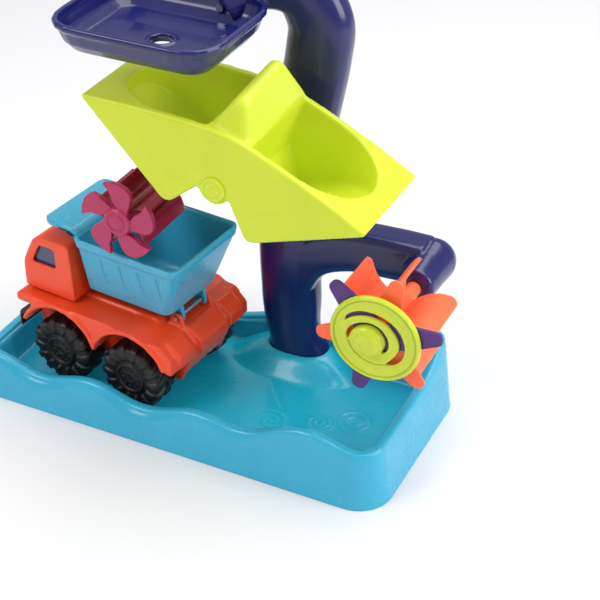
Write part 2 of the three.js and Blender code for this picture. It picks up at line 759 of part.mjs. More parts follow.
const SLOT_STEPS = 3; // between two rows of a slot's table

function spiralSlot(table) {
  const stations = curve(table).getPoints((table.length - 1) * SLOT_STEPS);
  const edge = (side) =>
    stations.map(({ x: angle, y: radius, z: width }) => {
      const turn = THREE.MathUtils.degToRad(angle);
      const r = radius + (side * width) / 2;
      return [r * Math.cos(turn), r * Math.sin(turn)];
    });
  return polygon([...edge(1), ...edge(-1).reverse()]);
}

function spiralDisc() {
  const rim = DISC_THICKNESS;
  const dish = turned(
    [
      [0, 0],
      [DISC_RADIUS - 1, 0],
      [DISC_RADIUS, 1],
      [DISC_RADIUS, rim - 1.2],
      [DISC_RADIUS - 1.2, rim],
      [DISC_RADIUS - 5, rim],
      [DISC_RADIUS - 11, rim - 1.4],
      [22, rim - 0.6],
      [0, rim - 0.6],
    ],
    40,
  );
  const slots = [OUTER_SLOT, INNER_SLOT].map((table) => slab(spiralSlot(table), -20, 20));
  const eye = turned(
    [
      [0, 0.4],
      [EYE_RADIUS, 0.4],
      [EYE_RADIUS - 0.6, rim + EYE_RISE * 0.3],
      [EYE_RADIUS - 3, rim + EYE_RISE * 0.66],
      [EYE_RADIUS * 0.5, rim + EYE_RISE * 0.92],
      [0, rim + EYE_RISE],
    ],
    24,
  );
  return dish
    .rotate([0, 0, 180])
    .translate([0, rim, 0])
    .subtract(union(slots))
    .add(eye.rotate([0, 0, 180]).translate([EYE[0], rim, EYE[1]]).subtract(slots[1]))
    .translate([SPIN_X, SPIN_FRONT, SPIN_Z]);
}

// A petal that narrows from its root towards its round tip, turned to its angle about the spinner's axis.
function petal(angle, length, front, thickness) {
  const half = PETAL_WIDTH / 2;
  const root = length * 0.45;
  const shape = roundedPolygon([
    [0, -half],
    [root, -half, 6],
    [length, -PETAL_TIP, PETAL_TIP],
    [length, PETAL_TIP, PETAL_TIP],
    [root, half, 6],
    [0, half],
  ]);
  return slab(shape, front, front + thickness, 5).rotate([0, -angle, 0]);
}

const STAR_FRONT = SPIN_FRONT + DISC_THICKNESS + REST_GAP;
const PADDLE_FRONT = STAR_FRONT + PETAL_THICKNESS + REST_GAP;
const PETAL_ANGLES = [14, 134, 254];

function star() {
  const petals = PETAL_ANGLES.map((angle) => petal(angle, PETAL_RADIUS, STAR_FRONT, PETAL_THICKNESS));
  const ring = rod(17, STAR_FRONT, STAR_FRONT + PETAL_THICKNESS, 0, 0, 28);
  const bore = rod(SPIN_SHAFT_RADIUS + REST_GAP, STAR_FRONT - 1, STAR_FRONT + PETAL_THICKNESS + 1);
  return union([ring, ...petals]).subtract(bore).translate([SPIN_X, 0, SPIN_Z]);
}

// One paddle: a bowed sheet from the hub, with a straight front edge and a back edge that sweeps out to
// a rounded corner.
function paddle(angle) {
  const stations = 10;
  const half = PADDLE_THICKNESS / 2;
  const root = SPIN_HUB_RADIUS - 3;
  const rings = [];
  for (let k = 0; k <= stations; k++) {
    const t = 1 - (1 - k / stations) ** 1.4;
    const r = root + (PADDLE_RADIUS - root) * t;
    const bow = PADDLE_BOW * Math.sin(Math.PI * t);
    const sweep = PADDLE_HUB_LENGTH - 4 + (PADDLE_LENGTH - PADDLE_HUB_LENGTH + 4) * t;
    const corner = PADDLE_CORNER * (1 - Math.sqrt(1 - smooth(t, 0.78, 1) ** 2));
    const to = PADDLE_FRONT + sweep - corner;
    rings.push([
      new THREE.Vector3(r, PADDLE_FRONT, bow - half),
      new THREE.Vector3(r, to, bow - half),
      new THREE.Vector3(r, to, bow + half),
      new THREE.Vector3(r, PADDLE_FRONT, bow + half),
    ]);
  }
  return loft(rings).rotate([0, -angle, 0]);
}

function paddleWheel() {
  const back = PADDLE_FRONT + PADDLE_HUB_LENGTH;
  const end = RIGHT_BARREL_FRONT - REST_GAP;
  const hub = rod(SPIN_HUB_RADIUS, PADDLE_FRONT, back, 0, 0, 20);
  const sleeve = rod(SPIN_SLEEVE_RADIUS, back - 1, end, 0, 0, 20);
  const blades = Array.from({ length: 6 }, (_, i) => paddle(PETAL_ANGLES[0] + 60 * i));
  const [reach, thickness] = [PETAL_RADIUS - 1, PETAL_THICKNESS - 1];
  const fins = PETAL_ANGLES.map((angle) => petal(angle + 60, reach, PADDLE_FRONT, thickness));
  const bore = rod(SPIN_SHAFT_RADIUS + REST_GAP, PADDLE_FRONT - 1, end + 1);
  return union([hub, sleeve, ...blades, ...fins]).subtract(bore).translate([SPIN_X, 0, SPIN_Z]);
}

function spinShaft() {
  return rod(SPIN_SHAFT_RADIUS, STAR_FRONT, TOWER_Y - 5, SPIN_X, SPIN_Z, 20);
}

// Mill: a star of curved blades in front of a finned roller

// A blade's outline: radius and angle from the blade's tip, tip first along the outer edge.
const MILL_BLADE = [
  [MILL_RADIUS, 0],
  [MILL_RADIUS, -14],
  [MILL_RADIUS - 0.6, -27],
  [MILL_RADIUS - 2, -38],
  [MILL_RADIUS - 5, -46],
  [MILL_RADIUS - 11, -52],
  [24, -57],
  [15, -68],
  [5, -90],
  [6, -20],
  [14.6, -25],
  [19.4, -12],
  [23.4, -8],
  [31.4, -8],
  [38, -3.5],
];

function millBlade(angle) {
  const outline = MILL_BLADE.map(([radius, back]) => {
    const turn = THREE.MathUtils.degToRad(angle + back);
    return [radius * Math.cos(turn), radius * Math.sin(turn)];
  });
  return slab(polygon(outline), 0, MILL_STAR_THICKNESS);
}

function millStar() {
  const step = 360 / MILL_BLADES;
  const blades = Array.from({ length: MILL_BLADES }, (_, i) => millBlade(MILL_BLADE_ANGLE + step * i));
  const dome = turned(
    [
      [0, -4.2],
      [MILL_HUB_RADIUS - 8, -3.4],
      [MILL_HUB_RADIUS - 5.6, -1.8],
      [MILL_HUB_RADIUS - 4.4, -3],
      [MILL_HUB_RADIUS - 1.4, -3],
      [MILL_HUB_RADIUS, -1.4],
      [MILL_HUB_RADIUS, MILL_STAR_THICKNESS],
      [0, MILL_STAR_THICKNESS],
    ],
    24,
  );
  const bore = rod(SPIN_SHAFT_RADIUS + REST_GAP, 1.5, MILL_STAR_THICKNESS + 1);
  return union([dome, ...blades]).subtract(bore).translate([MILL_X, MILL_FRONT, MILL_Z]);
}

function millRoller() {
  const front = MILL_FRONT + MILL_STAR_THICKNESS + REST_GAP;
  const back = front + MILL_ROLLER_LENGTH - 2 * REST_GAP;
  const drum = rod(MILL_DRUM_RADIUS, front, back, 0, 0, 24);
  const fins = Array.from({ length: MILL_BLADES }, (_, i) => {
    const arm = [];
    for (let k = 0; k <= 5; k++) {
      const t = k / 5;
      arm.push([6 + (MILL_FIN_RADIUS - 6) * t, 7 * Math.sin(Math.PI * t) - 1.5]);
    }
    const backEdge = arm.map(([u, v]) => [u, v + 3]).reverse();
    const turn = MILL_FIN_ANGLE + (360 / MILL_BLADES) * i;
    return slab(polygon([...arm, ...backEdge]), front, back).rotate([0, -turn, 0]);
  });
  const end = rod(MILL_FIN_RADIUS * 0.62, back - 3, back, 0, 0, 24);
  const bore = rod(SPIN_SHAFT_RADIUS + REST_GAP, front - 1, back + 1);
  return union([drum, end, ...fins]).subtract(bore).translate([MILL_X, 0, MILL_Z]);
}

function millShaft() {
  return rod(SPIN_SHAFT_RADIUS, MILL_FRONT + 1.5 + REST_GAP, TOWER_Y - 5, MILL_X, MILL_Z, 20);
}

// Hopper

function hopperRing(spread, z, radius = HOPPER_CORNER) {
  const [halfX, halfY] = [HOPPER_LENGTH / 2 + spread, HOPPER_DEPTH / 2 + spread];
  return roundedRectangle(halfX, halfY, radius + spread, HOPPER_X, HOPPER_Y)
    .getPoints(5)
    .slice(0, -1)
    .map((p) => new THREE.Vector3(p.x, p.y, z));
}

function hopperOuter(grow) {
  const top = HOPPER_Z + HOPPER_HEIGHT;
  return loft([
    hopperRing(-20 + grow, HOPPER_Z - grow, 30),
    hopperRing(-9 + grow, HOPPER_Z + 3 - grow, 32),
    hopperRing(grow, HOPPER_Z + 13),
    hopperRing(HOPPER_FLARE - 3 + grow, top - 8),
    hopperRing(HOPPER_FLARE + grow, top - 6),
    hopperRing(HOPPER_FLARE + grow, top - 1.5),
    hopperRing(HOPPER_FLARE - 1.5 + grow, top + grow),
  ]);
}

function hopper() {
  const top = HOPPER_Z + HOPPER_HEIGHT;
  const inner = loft([
    hopperRing(-40, HOPPER_Z + WALL + 1, 14),
    hopperRing(-13, HOPPER_Z + WALL + 5, 28),
    hopperRing(-WALL, HOPPER_Z + 15, 32),
    hopperRing(HOPPER_FLARE - 3 - WALL, top - 7, 32),
    hopperRing(HOPPER_FLARE - 3 - WALL, top + 5, 32),
  ]);
  const outlet = post(HOPPER_OUTLET_RADIUS, HOPPER_Z - 20, HOPPER_Z + 20, HOPPER_X, HOPPER_Y, 24);
  const spout = post(HOPPER_OUTLET_RADIUS + 3, HOPPER_Z - 3, HOPPER_Z + 6, HOPPER_X, HOPPER_Y, 24);
  const hole = rod(SCREW_RADIUS + REST_GAP, HOPPER_Y, HOPPER_BACK + 20, NECK_END[0], NECK_END[2], 12);
  return hopperOuter(0).subtract(inner).add(spout).subtract(outlet).subtract(hole);
}

function neckScrew() {
  const [x, , z] = NECK_END;
  const face = HOPPER_BACK - WALL - 0.6;
  const head = rod(SCREW_HEAD_RADIUS, face - SCREW_HEAD_HEIGHT, face, x, z, 20);
  return head.add(rod(SCREW_RADIUS, face - 1, HOPPER_BACK + 16, x, z, 12));
}

// Dump truck

const truck = new THREE.Group();
truck.position.set(TRUCK_X, TRUCK_Y, FLOOR_TOP + WHEEL_GAP);
truck.rotation.z = THREE.MathUtils.degToRad(TRUCK_YAW);
table.add(truck);

const WHEEL_Y = (TRUCK_WIDTH - WHEEL_WIDTH) / 2;
const AXLES = { rear: 0, front: WHEEL_BASE };
const SPINE_HALF = WHEEL_Y - WHEEL_WIDTH / 2 - 2; // the chassis between the wheels
const REAR_BEAM = 9; // depth of the beam across the rear
// Raised plates on the rear's slope: middle, half width, rise.
const REAR_PLATES = [
  [-46, 13, 4],
  [0, 24, 6],
  [46, 13, 4],
];

function wheel(x, side) {
  const half = WHEEL_WIDTH / 2;
  const edge = [
    [WHEEL_RADIUS * 0.4, half - 3],
    [WHEEL_RADIUS * 0.46, half],
    [WHEEL_RADIUS * 0.9, half],
    [WHEEL_RADIUS * 0.98, half - 4],
    [WHEEL_RADIUS - TREAD_CROWN, half - 10],
  ];
  const inner = edge.map(([r, y]) => [r, -y]);
  const profile = [[0, 3 - half], ...inner, [WHEEL_RADIUS, 0], ...edge.reverse(), [0, half - 3]];
  const bore = rod(AXLE_RADIUS + REST_GAP, -half - 5, half * 0.4, 0, 0, 16);
  const made = turned(profile, 24).subtract(side > 0 ? bore : bore.mirror([0, 1, 0]));
  return made.translate([x, side * WHEEL_Y, WHEEL_RADIUS]);
}

function axle(x) {
  const reach = WHEEL_Y + WHEEL_WIDTH * 0.2 - REST_GAP;
  return rod(AXLE_RADIUS, -reach, reach, x, WHEEL_RADIUS, 20);
}

// The span of y from one lateral distance to another, on the left (1) or right (-1) side.
function span(side, near, away) {
  return side > 0 ? [near, away] : [-away, -near];
}

// One fender: an arch over a wheel.
function fender(x, side) {
  const free = THREE.MathUtils.degToRad(FENDER_END);
  const [start, end] = x > 0 ? [free, Math.PI - 0.3] : [0.3, Math.PI - free];
  const shape = new THREE.Shape();
  shape.absarc(x, ARCH_Z, ARCH_RADIUS + ARCH_THICKNESS, start, end, false);
  shape.absarc(x, ARCH_Z, ARCH_RADIUS, end, start, true);
  return slab(shape, ...span(side, SPINE_HALF - 1, TRUCK_WIDTH / 2), 9);
}

function chassis() {
  const outerHalf = TRUCK_WIDTH / 2 - 3;
  const spine = slab(
    roundedPolygon([
      [CHASSIS_BACK, CHASSIS_LOW_Z, 3],
      [CHASSIS_BACK + 14, 30, 3],
      [CHASSIS_FRONT - 8, 30, 3],
      [CHASSIS_FRONT, 44, 3],
      [CHASSIS_FRONT, DECK_Z, 5],
      [STEP_X, DECK_Z, 5],
      [STEP_X - 6, DECK_Z - STEP_DROP, 3],
      [DECK_BACK, DECK_Z - STEP_DROP, 4],
      [CHASSIS_BACK, REAR_TOP_Z, 4],
    ]),
    -SPINE_HALF,
    SPINE_HALF,
    3,
  );
  const deck = slab(
    roundedPolygon([
      [DECK_BACK, DECK_Z - STEP_DROP - DECK_THICKNESS, 3],
      [CHASSIS_FRONT, DECK_Z - STEP_DROP - DECK_THICKNESS, 3],
      [CHASSIS_FRONT, DECK_Z - 3, 4],
      [STEP_X + 6, DECK_Z - 3, 4],
      [STEP_X, DECK_Z - STEP_DROP, 3],
      [DECK_BACK, DECK_Z - STEP_DROP, 3],
    ]),
    -outerHalf,
    outerHalf,
    3,
  );
  const skirt = roundedPolygon([
    [WHEEL_BASE / 2 - 14, 50, 3],
    [WHEEL_BASE / 2 + 14, 50, 3],
    [WHEEL_BASE / 2 + 26, DECK_Z - 8, 2],
    [WHEEL_BASE / 2 - 26, DECK_Z - 8, 2],
  ]);
  const sides = [-1, 1].map((s) => slab(skirt, ...span(s, SPINE_HALF - 1, outerHalf), 2));
  const wheels = Object.values(AXLES);
  const arches = wheels.flatMap((x) => [-1, 1].map((s) => fender(x, s)));
  const wells = wheels.flatMap((x) =>
    [-1, 1].map((s) => rod(ARCH_RADIUS, ...span(s, SPINE_HALF, TRUCK_WIDTH / 2 + 5), x, ARCH_Z, 24)),
  );
  const plates = REAR_PLATES.map(([y, half, rise]) => slab(rearSection(rise), y - half, y + half, 2));
  const beam = slab(rearSection(0), -outerHalf, outerHalf, 2);
  const rest = block([40, -14, DECK_Z - 3], [50, 14, BED_BOTTOM_Z - REST_GAP]);
  const underside = block(
    [CHASSIS_BACK + REAR_BEAM + 1, 5 - SPINE_HALF, 20],
    [CHASSIS_FRONT - 5, SPINE_HALF - 5, DECK_Z - 15],
  );
  const bearings = wheels.map((x) =>
    block([x - 8, -SPINE_HALF, WHEEL_RADIUS - 9], [x + 8, SPINE_HALF, DECK_Z - 10]),
  );
  const bores = wheels.map((x) =>
    rod(AXLE_RADIUS + RUN_GAP, -SPINE_HALF - 5, SPINE_HALF + 5, x, WHEEL_RADIUS, 16),
  );
  return union([spine, deck, ...sides, ...arches])
    .subtract(union([underside, ...wells]))
    .add(union([beam, ...plates, ...bearings, rest, ...hingeEars()]))
    .subtract(union([hingeBore(REST_GAP), ...bores]));
}

// The rear's section: a sloping face from the deck to the lower edge, proud of the beam by rise.
function rearSection(rise) {
  return roundedPolygon([
    [CHASSIS_BACK - rise, CHASSIS_LOW_Z + (rise ? 4 : 0), 2],
    [CHASSIS_BACK + REAR_BEAM, CHASSIS_LOW_Z, 2],
    [DECK_BACK + 8, DECK_Z - STEP_DROP - 2],
    [DECK_BACK - rise / 2, DECK_Z - STEP_DROP, 2],
    [CHASSIS_BACK - rise, REAR_TOP_Z + rise / 2, 3],
  ]);
}

function hingeBore(gap) {
  return rod(BED_PIN_RADIUS + gap, -TRUCK_WIDTH, TRUCK_WIDTH, BED_HINGE_X, BED_HINGE_Z, 16);
}

function hingeEars() {
  const reach = BED_PIN_RADIUS + 2.6;
  const ear = roundedPolygon([
    [BED_HINGE_X - 11, DECK_Z - 9],
    [BED_HINGE_X + 11, DECK_Z - 9],
    [BED_HINGE_X + reach, BED_HINGE_Z + reach, reach * 0.8],
    [BED_HINGE_X - reach, BED_HINGE_Z + reach, reach * 0.8],
  ]);
  const near = BED_LUG_Y + BED_EAR_GAP;
  return [-1, 1].map((s) => slab(ear, ...span(s, near, near + BED_EAR_WIDTH), 4));
}

const CAB_BACK = 83;
const CAB_FRONT = CHASSIS_FRONT - 4;
const CAB_HALF = TRUCK_WIDTH / 2 - 16;
const CAB_ROOF = BED_RIM_Z - 15;

function cab() {
  const outline = roundedPolygon([
    [CAB_BACK - 3, DECK_Z + REST_GAP, 2],
    [CAB_FRONT, DECK_Z + REST_GAP, 4],
    [CAB_FRONT, DECK_Z + 32, 8],
    [CAB_FRONT - 18, CAB_ROOF, 10],
    [CAB_BACK, CAB_ROOF, 6],
  ]);
  const inside = roundedPolygon([
    [CAB_BACK + 2, DECK_Z - 5],
    [CAB_FRONT - 4, DECK_Z - 5],
    [CAB_FRONT - 4, DECK_Z + 30, 8],
    [CAB_FRONT - 21, CAB_ROOF - 4, 8],
    [CAB_BACK + 4, CAB_ROOF - 4, 4],
  ]);
  const doorWindow = roundedPolygon([
    [CAB_BACK + 20, DECK_Z + 34, 4],
    [CAB_FRONT - 12, DECK_Z + 34, 4],
    [CAB_FRONT - 24, CAB_ROOF - 10, 4],
    [CAB_BACK + 20, CAB_ROOF - 10, 4],
  ]);
  const hollow = slab(inside, -CAB_HALF + 4, CAB_HALF - 4, 4);
  const doors = slab(doorWindow, -CAB_HALF - 1, CAB_HALF + 1, 3);
  const screen = block(
    [CAB_FRONT - 26, 12 - CAB_HALF, DECK_Z + 40],
    [CAB_FRONT + 4, CAB_HALF - 12, CAB_ROOF - 12],
  );
  return slab(outline, -CAB_HALF, CAB_HALF, 4).subtract(union([hollow, doors, screen]));
}

// Dark glazing that fills the cab behind its window openings.
function windows() {
  const outline = roundedPolygon([
    [CAB_BACK + 4 + REST_GAP, DECK_Z + 26],
    [CAB_FRONT - 4 - REST_GAP, DECK_Z + 26],
    [CAB_FRONT - 5 - REST_GAP, DECK_Z + 31, 4],
    [CAB_FRONT - 22 - REST_GAP, CAB_ROOF - 4 - REST_GAP, 9],
    [CAB_BACK + 4 + REST_GAP, CAB_ROOF - 4 - REST_GAP, 5],
  ]);
  const half = CAB_HALF - 4 - REST_GAP;
  return slab(outline, -half, half, 4);
}

function headlamp(side) {
  const lens = new THREE.CylinderGeometry(8, 9, 5, 20).rotateZ(-Math.PI / 2);
  return solid(lens.translate(CHASSIS_FRONT + REST_GAP + 2.5, side * 17, 78));
}

function frontBumper() {
  const front = CHASSIS_FRONT + REST_GAP;
  const shape = roundedPolygon([
    [front, -TRUCK_WIDTH / 2 + 6, 2],
    [front + 8, -TRUCK_WIDTH / 2 + 12, 6],
    [front + 8, TRUCK_WIDTH / 2 - 12, 6],
    [front, TRUCK_WIDTH / 2 - 6, 2],
  ]);
  return plate(shape, 50, 64, 3);
}

// The tipping bed's section at four heights: z, back end, front end, half width.
const BED_SECTIONS = [
  [BED_BOTTOM_Z, -14, 72, 36],
  [BED_BOTTOM_Z + 8, -35, 75, 44],
  [BED_RIM_Z - BED_BAND, -55, 74, 57],
  [BED_RIM_Z, -56, 75, 59],
];

const GROOVES = [-30, -6, 18, 42]; // along each side
const GUARD_HALF = 52;
const GUARD_REACH = 46; // forward of the bed's rim
const GUARD_THICKNESS = 4.5;

function bedRing([z, back, front, half], inset, height = z) {
  const halfX = (front - back) / 2 - inset;
  return roundedRectangle(halfX, half - inset, 8, (front + back) / 2, 0)
    .getPoints(4)
    .slice(0, -1)
    .map((p) => new THREE.Vector3(p.x, p.y, height));
}

function bed() {
  const [bottom, chine, shoulder, rim] = BED_SECTIONS;
  const outer = loft([
    bedRing(bottom, 0),
    bedRing(chine, 0),
    bedRing(shoulder, 0),
    bedRing(shoulder, -1.8, BED_RIM_Z - BED_BAND + 1.5),
    bedRing(rim, -1.8, BED_RIM_Z - 1),
    bedRing(rim, -0.8),
  ]);
  const inner = loft([
    bedRing(bottom, 2, BED_BOTTOM_Z + BED_WALL),
    bedRing(chine, BED_WALL),
    bedRing(rim, BED_WALL),
    bedRing(rim, BED_WALL, BED_RIM_Z + 5),
  ]);
  const guard = slab(guardSection(), -GUARD_HALF, GUARD_HALF, 3).intersect(
    plate(roundedRectangle(GUARD_REACH, GUARD_HALF, 12, BED_SECTIONS[3][2], 0), DECK_Z, BED_RIM_Z + 20, 4),
  );
  const tongue = 5.6;
  const lug = roundedPolygon([
    [BED_HINGE_X - 4, BED_BOTTOM_Z + 8],
    [BED_HINGE_X - tongue, BED_HINGE_Z],
    [BED_HINGE_X - tongue, BED_HINGE_Z - tongue, 4],
    [BED_HINGE_X + tongue, BED_HINGE_Z - tongue, 4],
    [BED_HINGE_X + 14, BED_BOTTOM_Z + 2],
    [BED_HINGE_X + 12, BED_BOTTOM_Z + 8],
  ]);
  const lugs = [-1, 1].map((s) => slab(lug, ...span(s, BED_LUG_Y - 2.2, BED_LUG_Y + 2.2), 3));
  const grooves = [-1, 1].flatMap((s) => GROOVES.map((x) => groove(x, s)));
  return union([outer, guard])
    .subtract(union([inner, ...grooves]))
    .add(union(lugs).subtract(inner))
    .subtract(hingeBore(RUN_GAP));
}

// The guard over the cab: it climbs from the bed's front rim and runs forward above the roof.
function guardSection() {
  const front = BED_SECTIONS[3][2];
  const top = BED_RIM_Z + GUARD_RISE;
  return roundedPolygon([
    [front - BED_WALL, BED_RIM_Z - BED_BAND],
    [front + 2, BED_RIM_Z - BED_BAND, 1],
    [front + 8, top - GUARD_THICKNESS, 4],
    [front + GUARD_REACH, top - GUARD_THICKNESS, 1],
    [front + GUARD_REACH, top, 2],
    [front + 2, top, 6],
    [front - BED_WALL, BED_RIM_Z, 1],
  ]);
}

// A groove on the bed's side: a small square that follows the wall's lean.
function groove(x, side) {
  const [, chine, shoulder] = BED_SECTIONS;
  const lean = (shoulder[3] - chine[3]) / (shoulder[0] - chine[0]);
  return loft(
    [BED_BOTTOM_Z + 24, BED_RIM_Z - BED_BAND - 5].map((z) => {
      const face = side * (chine[3] + lean * (z - chine[0]));
      return [[-1, -1], [1, -1], [1, 1], [-1, 1]].map(([a, b]) => new THREE.Vector3(x + a, face + b, z));
    }),
  );
}

function bedPin() {
  const reach = BED_LUG_Y + BED_EAR_GAP + BED_EAR_WIDTH + 1;
  return rod(BED_PIN_RADIUS, -reach, reach, BED_HINGE_X, BED_HINGE_Z, 20);
}

// Assembly

put("tray", "basin", tray());
const [towerFront, towerRear] = towerShells();
put("tower_front_shell", "navy", towerFront);
put("tower_rear_shell", "navy", towerRear);
POSTS.forEach((at, i) => put("tower_screw_" + (i + 1), "steel", shellScrew(at)));
bucketGroup();
put("bucket_pivot_pin", "steel", pivotPin());
put("spiral_disc", "lime", spiralDisc());
put("petal_star", "purple", star());
put("paddle_wheel", "orange", paddleWheel());
put("spinner_shaft", "steel", spinShaft());
put("mill_star", "magenta", millStar());
put("mill_roller", "magenta", millRoller());
put("mill_shaft", "steel", millShaft());
put("hopper", "navy", hopper());
put("hopper_screw", "steel", neckScrew());
put("truck_chassis", "orange", chassis(), truck);
put("truck_cab", "orange", cab(), truck);
put("truck_windows", "window", windows(), truck);
put("truck_front_bumper", "tyre", frontBumper(), truck);
put("truck_headlamp_left", "lime", headlamp(1), truck);
put("truck_headlamp_right", "lime", headlamp(-1), truck);
put("truck_bed", "bed", bed(), truck);
put("bed_hinge_pin", "steel", bedPin(), truck);
for (const [end, x] of Object.entries(AXLES)) {
  put("truck_axle_" + end, "steel", axle(x), truck);
  put("truck_wheel_" + end + "_left", "tyre", wheel(x, 1), truck);
  put("truck_wheel_" + end + "_right", "tyre", wheel(x, -1), truck);
}

export default table;
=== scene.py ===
"""Sand and water table: smooth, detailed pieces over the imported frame, in metres, in the CAD's own frame."""

import math

import bpy
import numpy as np
from mathutils import Matrix, Vector


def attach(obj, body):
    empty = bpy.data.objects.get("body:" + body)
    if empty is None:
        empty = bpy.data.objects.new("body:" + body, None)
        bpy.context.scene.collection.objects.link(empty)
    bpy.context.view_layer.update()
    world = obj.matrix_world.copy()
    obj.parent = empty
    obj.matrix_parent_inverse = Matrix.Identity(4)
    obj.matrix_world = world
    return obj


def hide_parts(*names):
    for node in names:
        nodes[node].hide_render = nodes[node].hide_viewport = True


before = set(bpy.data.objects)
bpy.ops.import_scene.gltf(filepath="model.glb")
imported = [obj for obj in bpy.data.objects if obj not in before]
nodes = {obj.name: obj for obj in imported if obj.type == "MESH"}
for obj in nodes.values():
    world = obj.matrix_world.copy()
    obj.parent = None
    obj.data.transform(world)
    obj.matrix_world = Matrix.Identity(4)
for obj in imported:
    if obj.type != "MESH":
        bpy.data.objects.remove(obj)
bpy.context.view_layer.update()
MM = 0.001
SEAM_Y = 80  # where the tower's two shells meet, millimetres

# Colours as the photograph shows them
AQUA = "#2CA6C8"
AQUA_DEEP = "#18A9C6"
NAVY = "#15185C"
LIME = "#C6D42C"
# A darker lime: painted shade for the thin grooves of the spiral disc
LIME_GROOVE_SHADE = "#A2B414"
ORANGE = "#F04A1E"
CORAL = "#FF6A3C"
PURPLE = "#4A2273"
MAGENTA = "#B3245A"
# The roller's own crimson, made darker still by painted shade for the shade it sits in
MAROON_WITH_PAINTED_SHADE = "#9A123C"
SKY = "#3CA9CB"
TYRE = "#120D0B"
HUB = "#2C211D"
STEEL = "#B4B7BC"
GLAZING = "#24365A"


def linear(text):
    """A hex sRGB colour as linear RGBA."""
    parts = [int(text[i : i + 2], 16) / 255 for i in (1, 3, 5)]
    return [c / 12.92 if c <= 0.04045 else ((c + 0.055) / 1.055) ** 2.4 for c in parts] + [1]


def shade(text, factor):
    """That colour made lighter or darker, as linear RGBA."""
    return [min(c * factor, 1) for c in linear(text)[:3]] + [1]


# Materials


def add(tree, kind, inputs=None, **settings):
    """Adds one node, with its input values or links."""
    node = tree.nodes.new(kind)
    for key, value in settings.items():
        setattr(node, key, value)
    for key, value in (inputs or {}).items():
        if hasattr(value, "is_output"):
            tree.links.new(value, node.inputs[key])
        else:
            node.inputs[key].default_value = value
    return node


def bare(name):
    """A new material, its node tree and its shader."""
    material = bpy.data.materials.new(name)
    material.use_nodes = True
    tree = material.node_tree
    return material, tree, tree.nodes["Principled BSDF"]


def noise(tree, size_mm, detail=3.0, distortion=0.0, stretch=None):
    """Noise with features of that size in millimetres, in the object's own coordinates."""
    place = add(tree, "ShaderNodeTexCoord").outputs["Object"]
    if stretch:
        place = add(tree, "ShaderNodeMapping", {"Vector": place, "Scale": stretch}).outputs[0]
    inputs = {"Vector": place, "Scale": 1 / (size_mm * MM), "Detail": detail, "Distortion": distortion}
    return add(tree, "ShaderNodeTexNoise", inputs).outputs["Fac"]


def spread(tree, value, low, high, start=0.35, end=0.65):
    """The value from start to end mapped to low to high, held at both."""
    inputs = {"Value": value, "From Min": start, "From Max": end, "To Min": low, "To Max": high}
    return add(tree, "ShaderNodeMapRange", inputs).outputs[0]


def blend_colour(tree, factor, a, b):
    """Colour a where the factor is 0 and b where it is 1."""
    mix = add(tree, "ShaderNodeMix", data_type="RGBA")
    for socket, value in ((0, factor), (6, a), (7, b)):
        if hasattr(value, "is_output"):
            tree.links.new(value, mix.inputs[socket])
        else:
            mix.inputs[socket].default_value = value
    return mix.outputs[2]


def seam_gap(tree, y_mm):
    """0 on the plane at that y, where two shells meet, and 1 from 0.3 mm away from it."""
    place = add(tree, "ShaderNodeTexCoord").outputs["Object"]
    y = add(tree, "ShaderNodeSeparateXYZ", {"Vector": place}).outputs["Y"]
    away = add(tree, "ShaderNodeMath", {0: y, 1: y_mm * MM}, operation="SUBTRACT").outputs[0]
    distance = add(tree, "ShaderNodeMath", {0: away}, operation="ABSOLUTE").outputs[0]
    return spread(tree, distance, 0, 1, 0.1 * MM, 0.3 * MM)


def plastic(
    name, colour, rough=0.3, coat=0.0, grain=0.9, depth=0.003, vary=0.03, glow=0.0, painted_glow=0.0, seam_mm=None
):
    """Moulded plastic: faint flow clouds in the colour, slow sink marks and a fine grain.

    glow is scatter under the surface and seam_mm the y of a dark line where two shells meet. The emission
    argument is a
    painted glow: the surface emits its own colour, painted light that stands for the light a thin wall lets
    through.
    """
    material, tree, shader = bare(name)
    clouds = spread(tree, noise(tree, 60, 2.0, 0.4), 0, 1)
    tint = blend_colour(tree, clouds, shade(colour, 1 - vary), shade(colour, 1 + vary))
    if seam_mm is not None:
        tint = blend_colour(tree, seam_gap(tree, seam_mm), shade(colour, 0.3), tint)
    tree.links.new(tint, shader.inputs["Base Color"])
    handling = noise(tree, 24, 4.0, 0.8)
    tree.links.new(spread(tree, handling, rough * 0.86, rough * 1.14), shader.inputs["Roughness"])
    sink = {"Height": noise(tree, 30, 1.0), "Strength": 0.3, "Distance": 0.25 * MM}
    fine = {"Height": noise(tree, grain, 2.0), "Strength": 0.3, "Distance": depth * MM}
    fine["Normal"] = add(tree, "ShaderNodeBump", sink).outputs[0]
    tree.links.new(add(tree, "ShaderNodeBump", fine).outputs[0], shader.inputs["Normal"])
    shader.inputs["Coat Weight"].default_value = coat
    shader.inputs["Coat Roughness"].default_value = 0.06
    shader.inputs["IOR"].default_value = 1.49
    # Painted glow: the plastic emits its own colour, painted light for the light that thin walls let through.
    if painted_glow:
        shader.inputs["Emission Color"].default_value = linear(colour)
        shader.inputs["Emission Strength"].default_value = painted_glow
    if glow:
        shader.inputs["Subsurface Weight"].default_value = glow
        shader.inputs["Subsurface Radius"].default_value = [1.0, 0.9, 0.5]
        shader.inputs["Subsurface Scale"].default_value = 2.5 * MM
    return material


def metal(name, colour):
    """Zinc-plated steel with fine turning lines."""
    material, tree, shader = bare(name)
    lines = noise(tree, 0.5, 2.0, 0.0, (1, 0.1, 1))
    tint = blend_colour(tree, lines, shade(colour, 0.8), shade(colour, 1.1))
    tree.links.new(tint, shader.inputs["Base Color"])
    tree.links.new(spread(tree, lines, 0.25, 0.42), shader.inputs["Roughness"])
    shader.inputs["Metallic"].default_value = 1.0
    return material
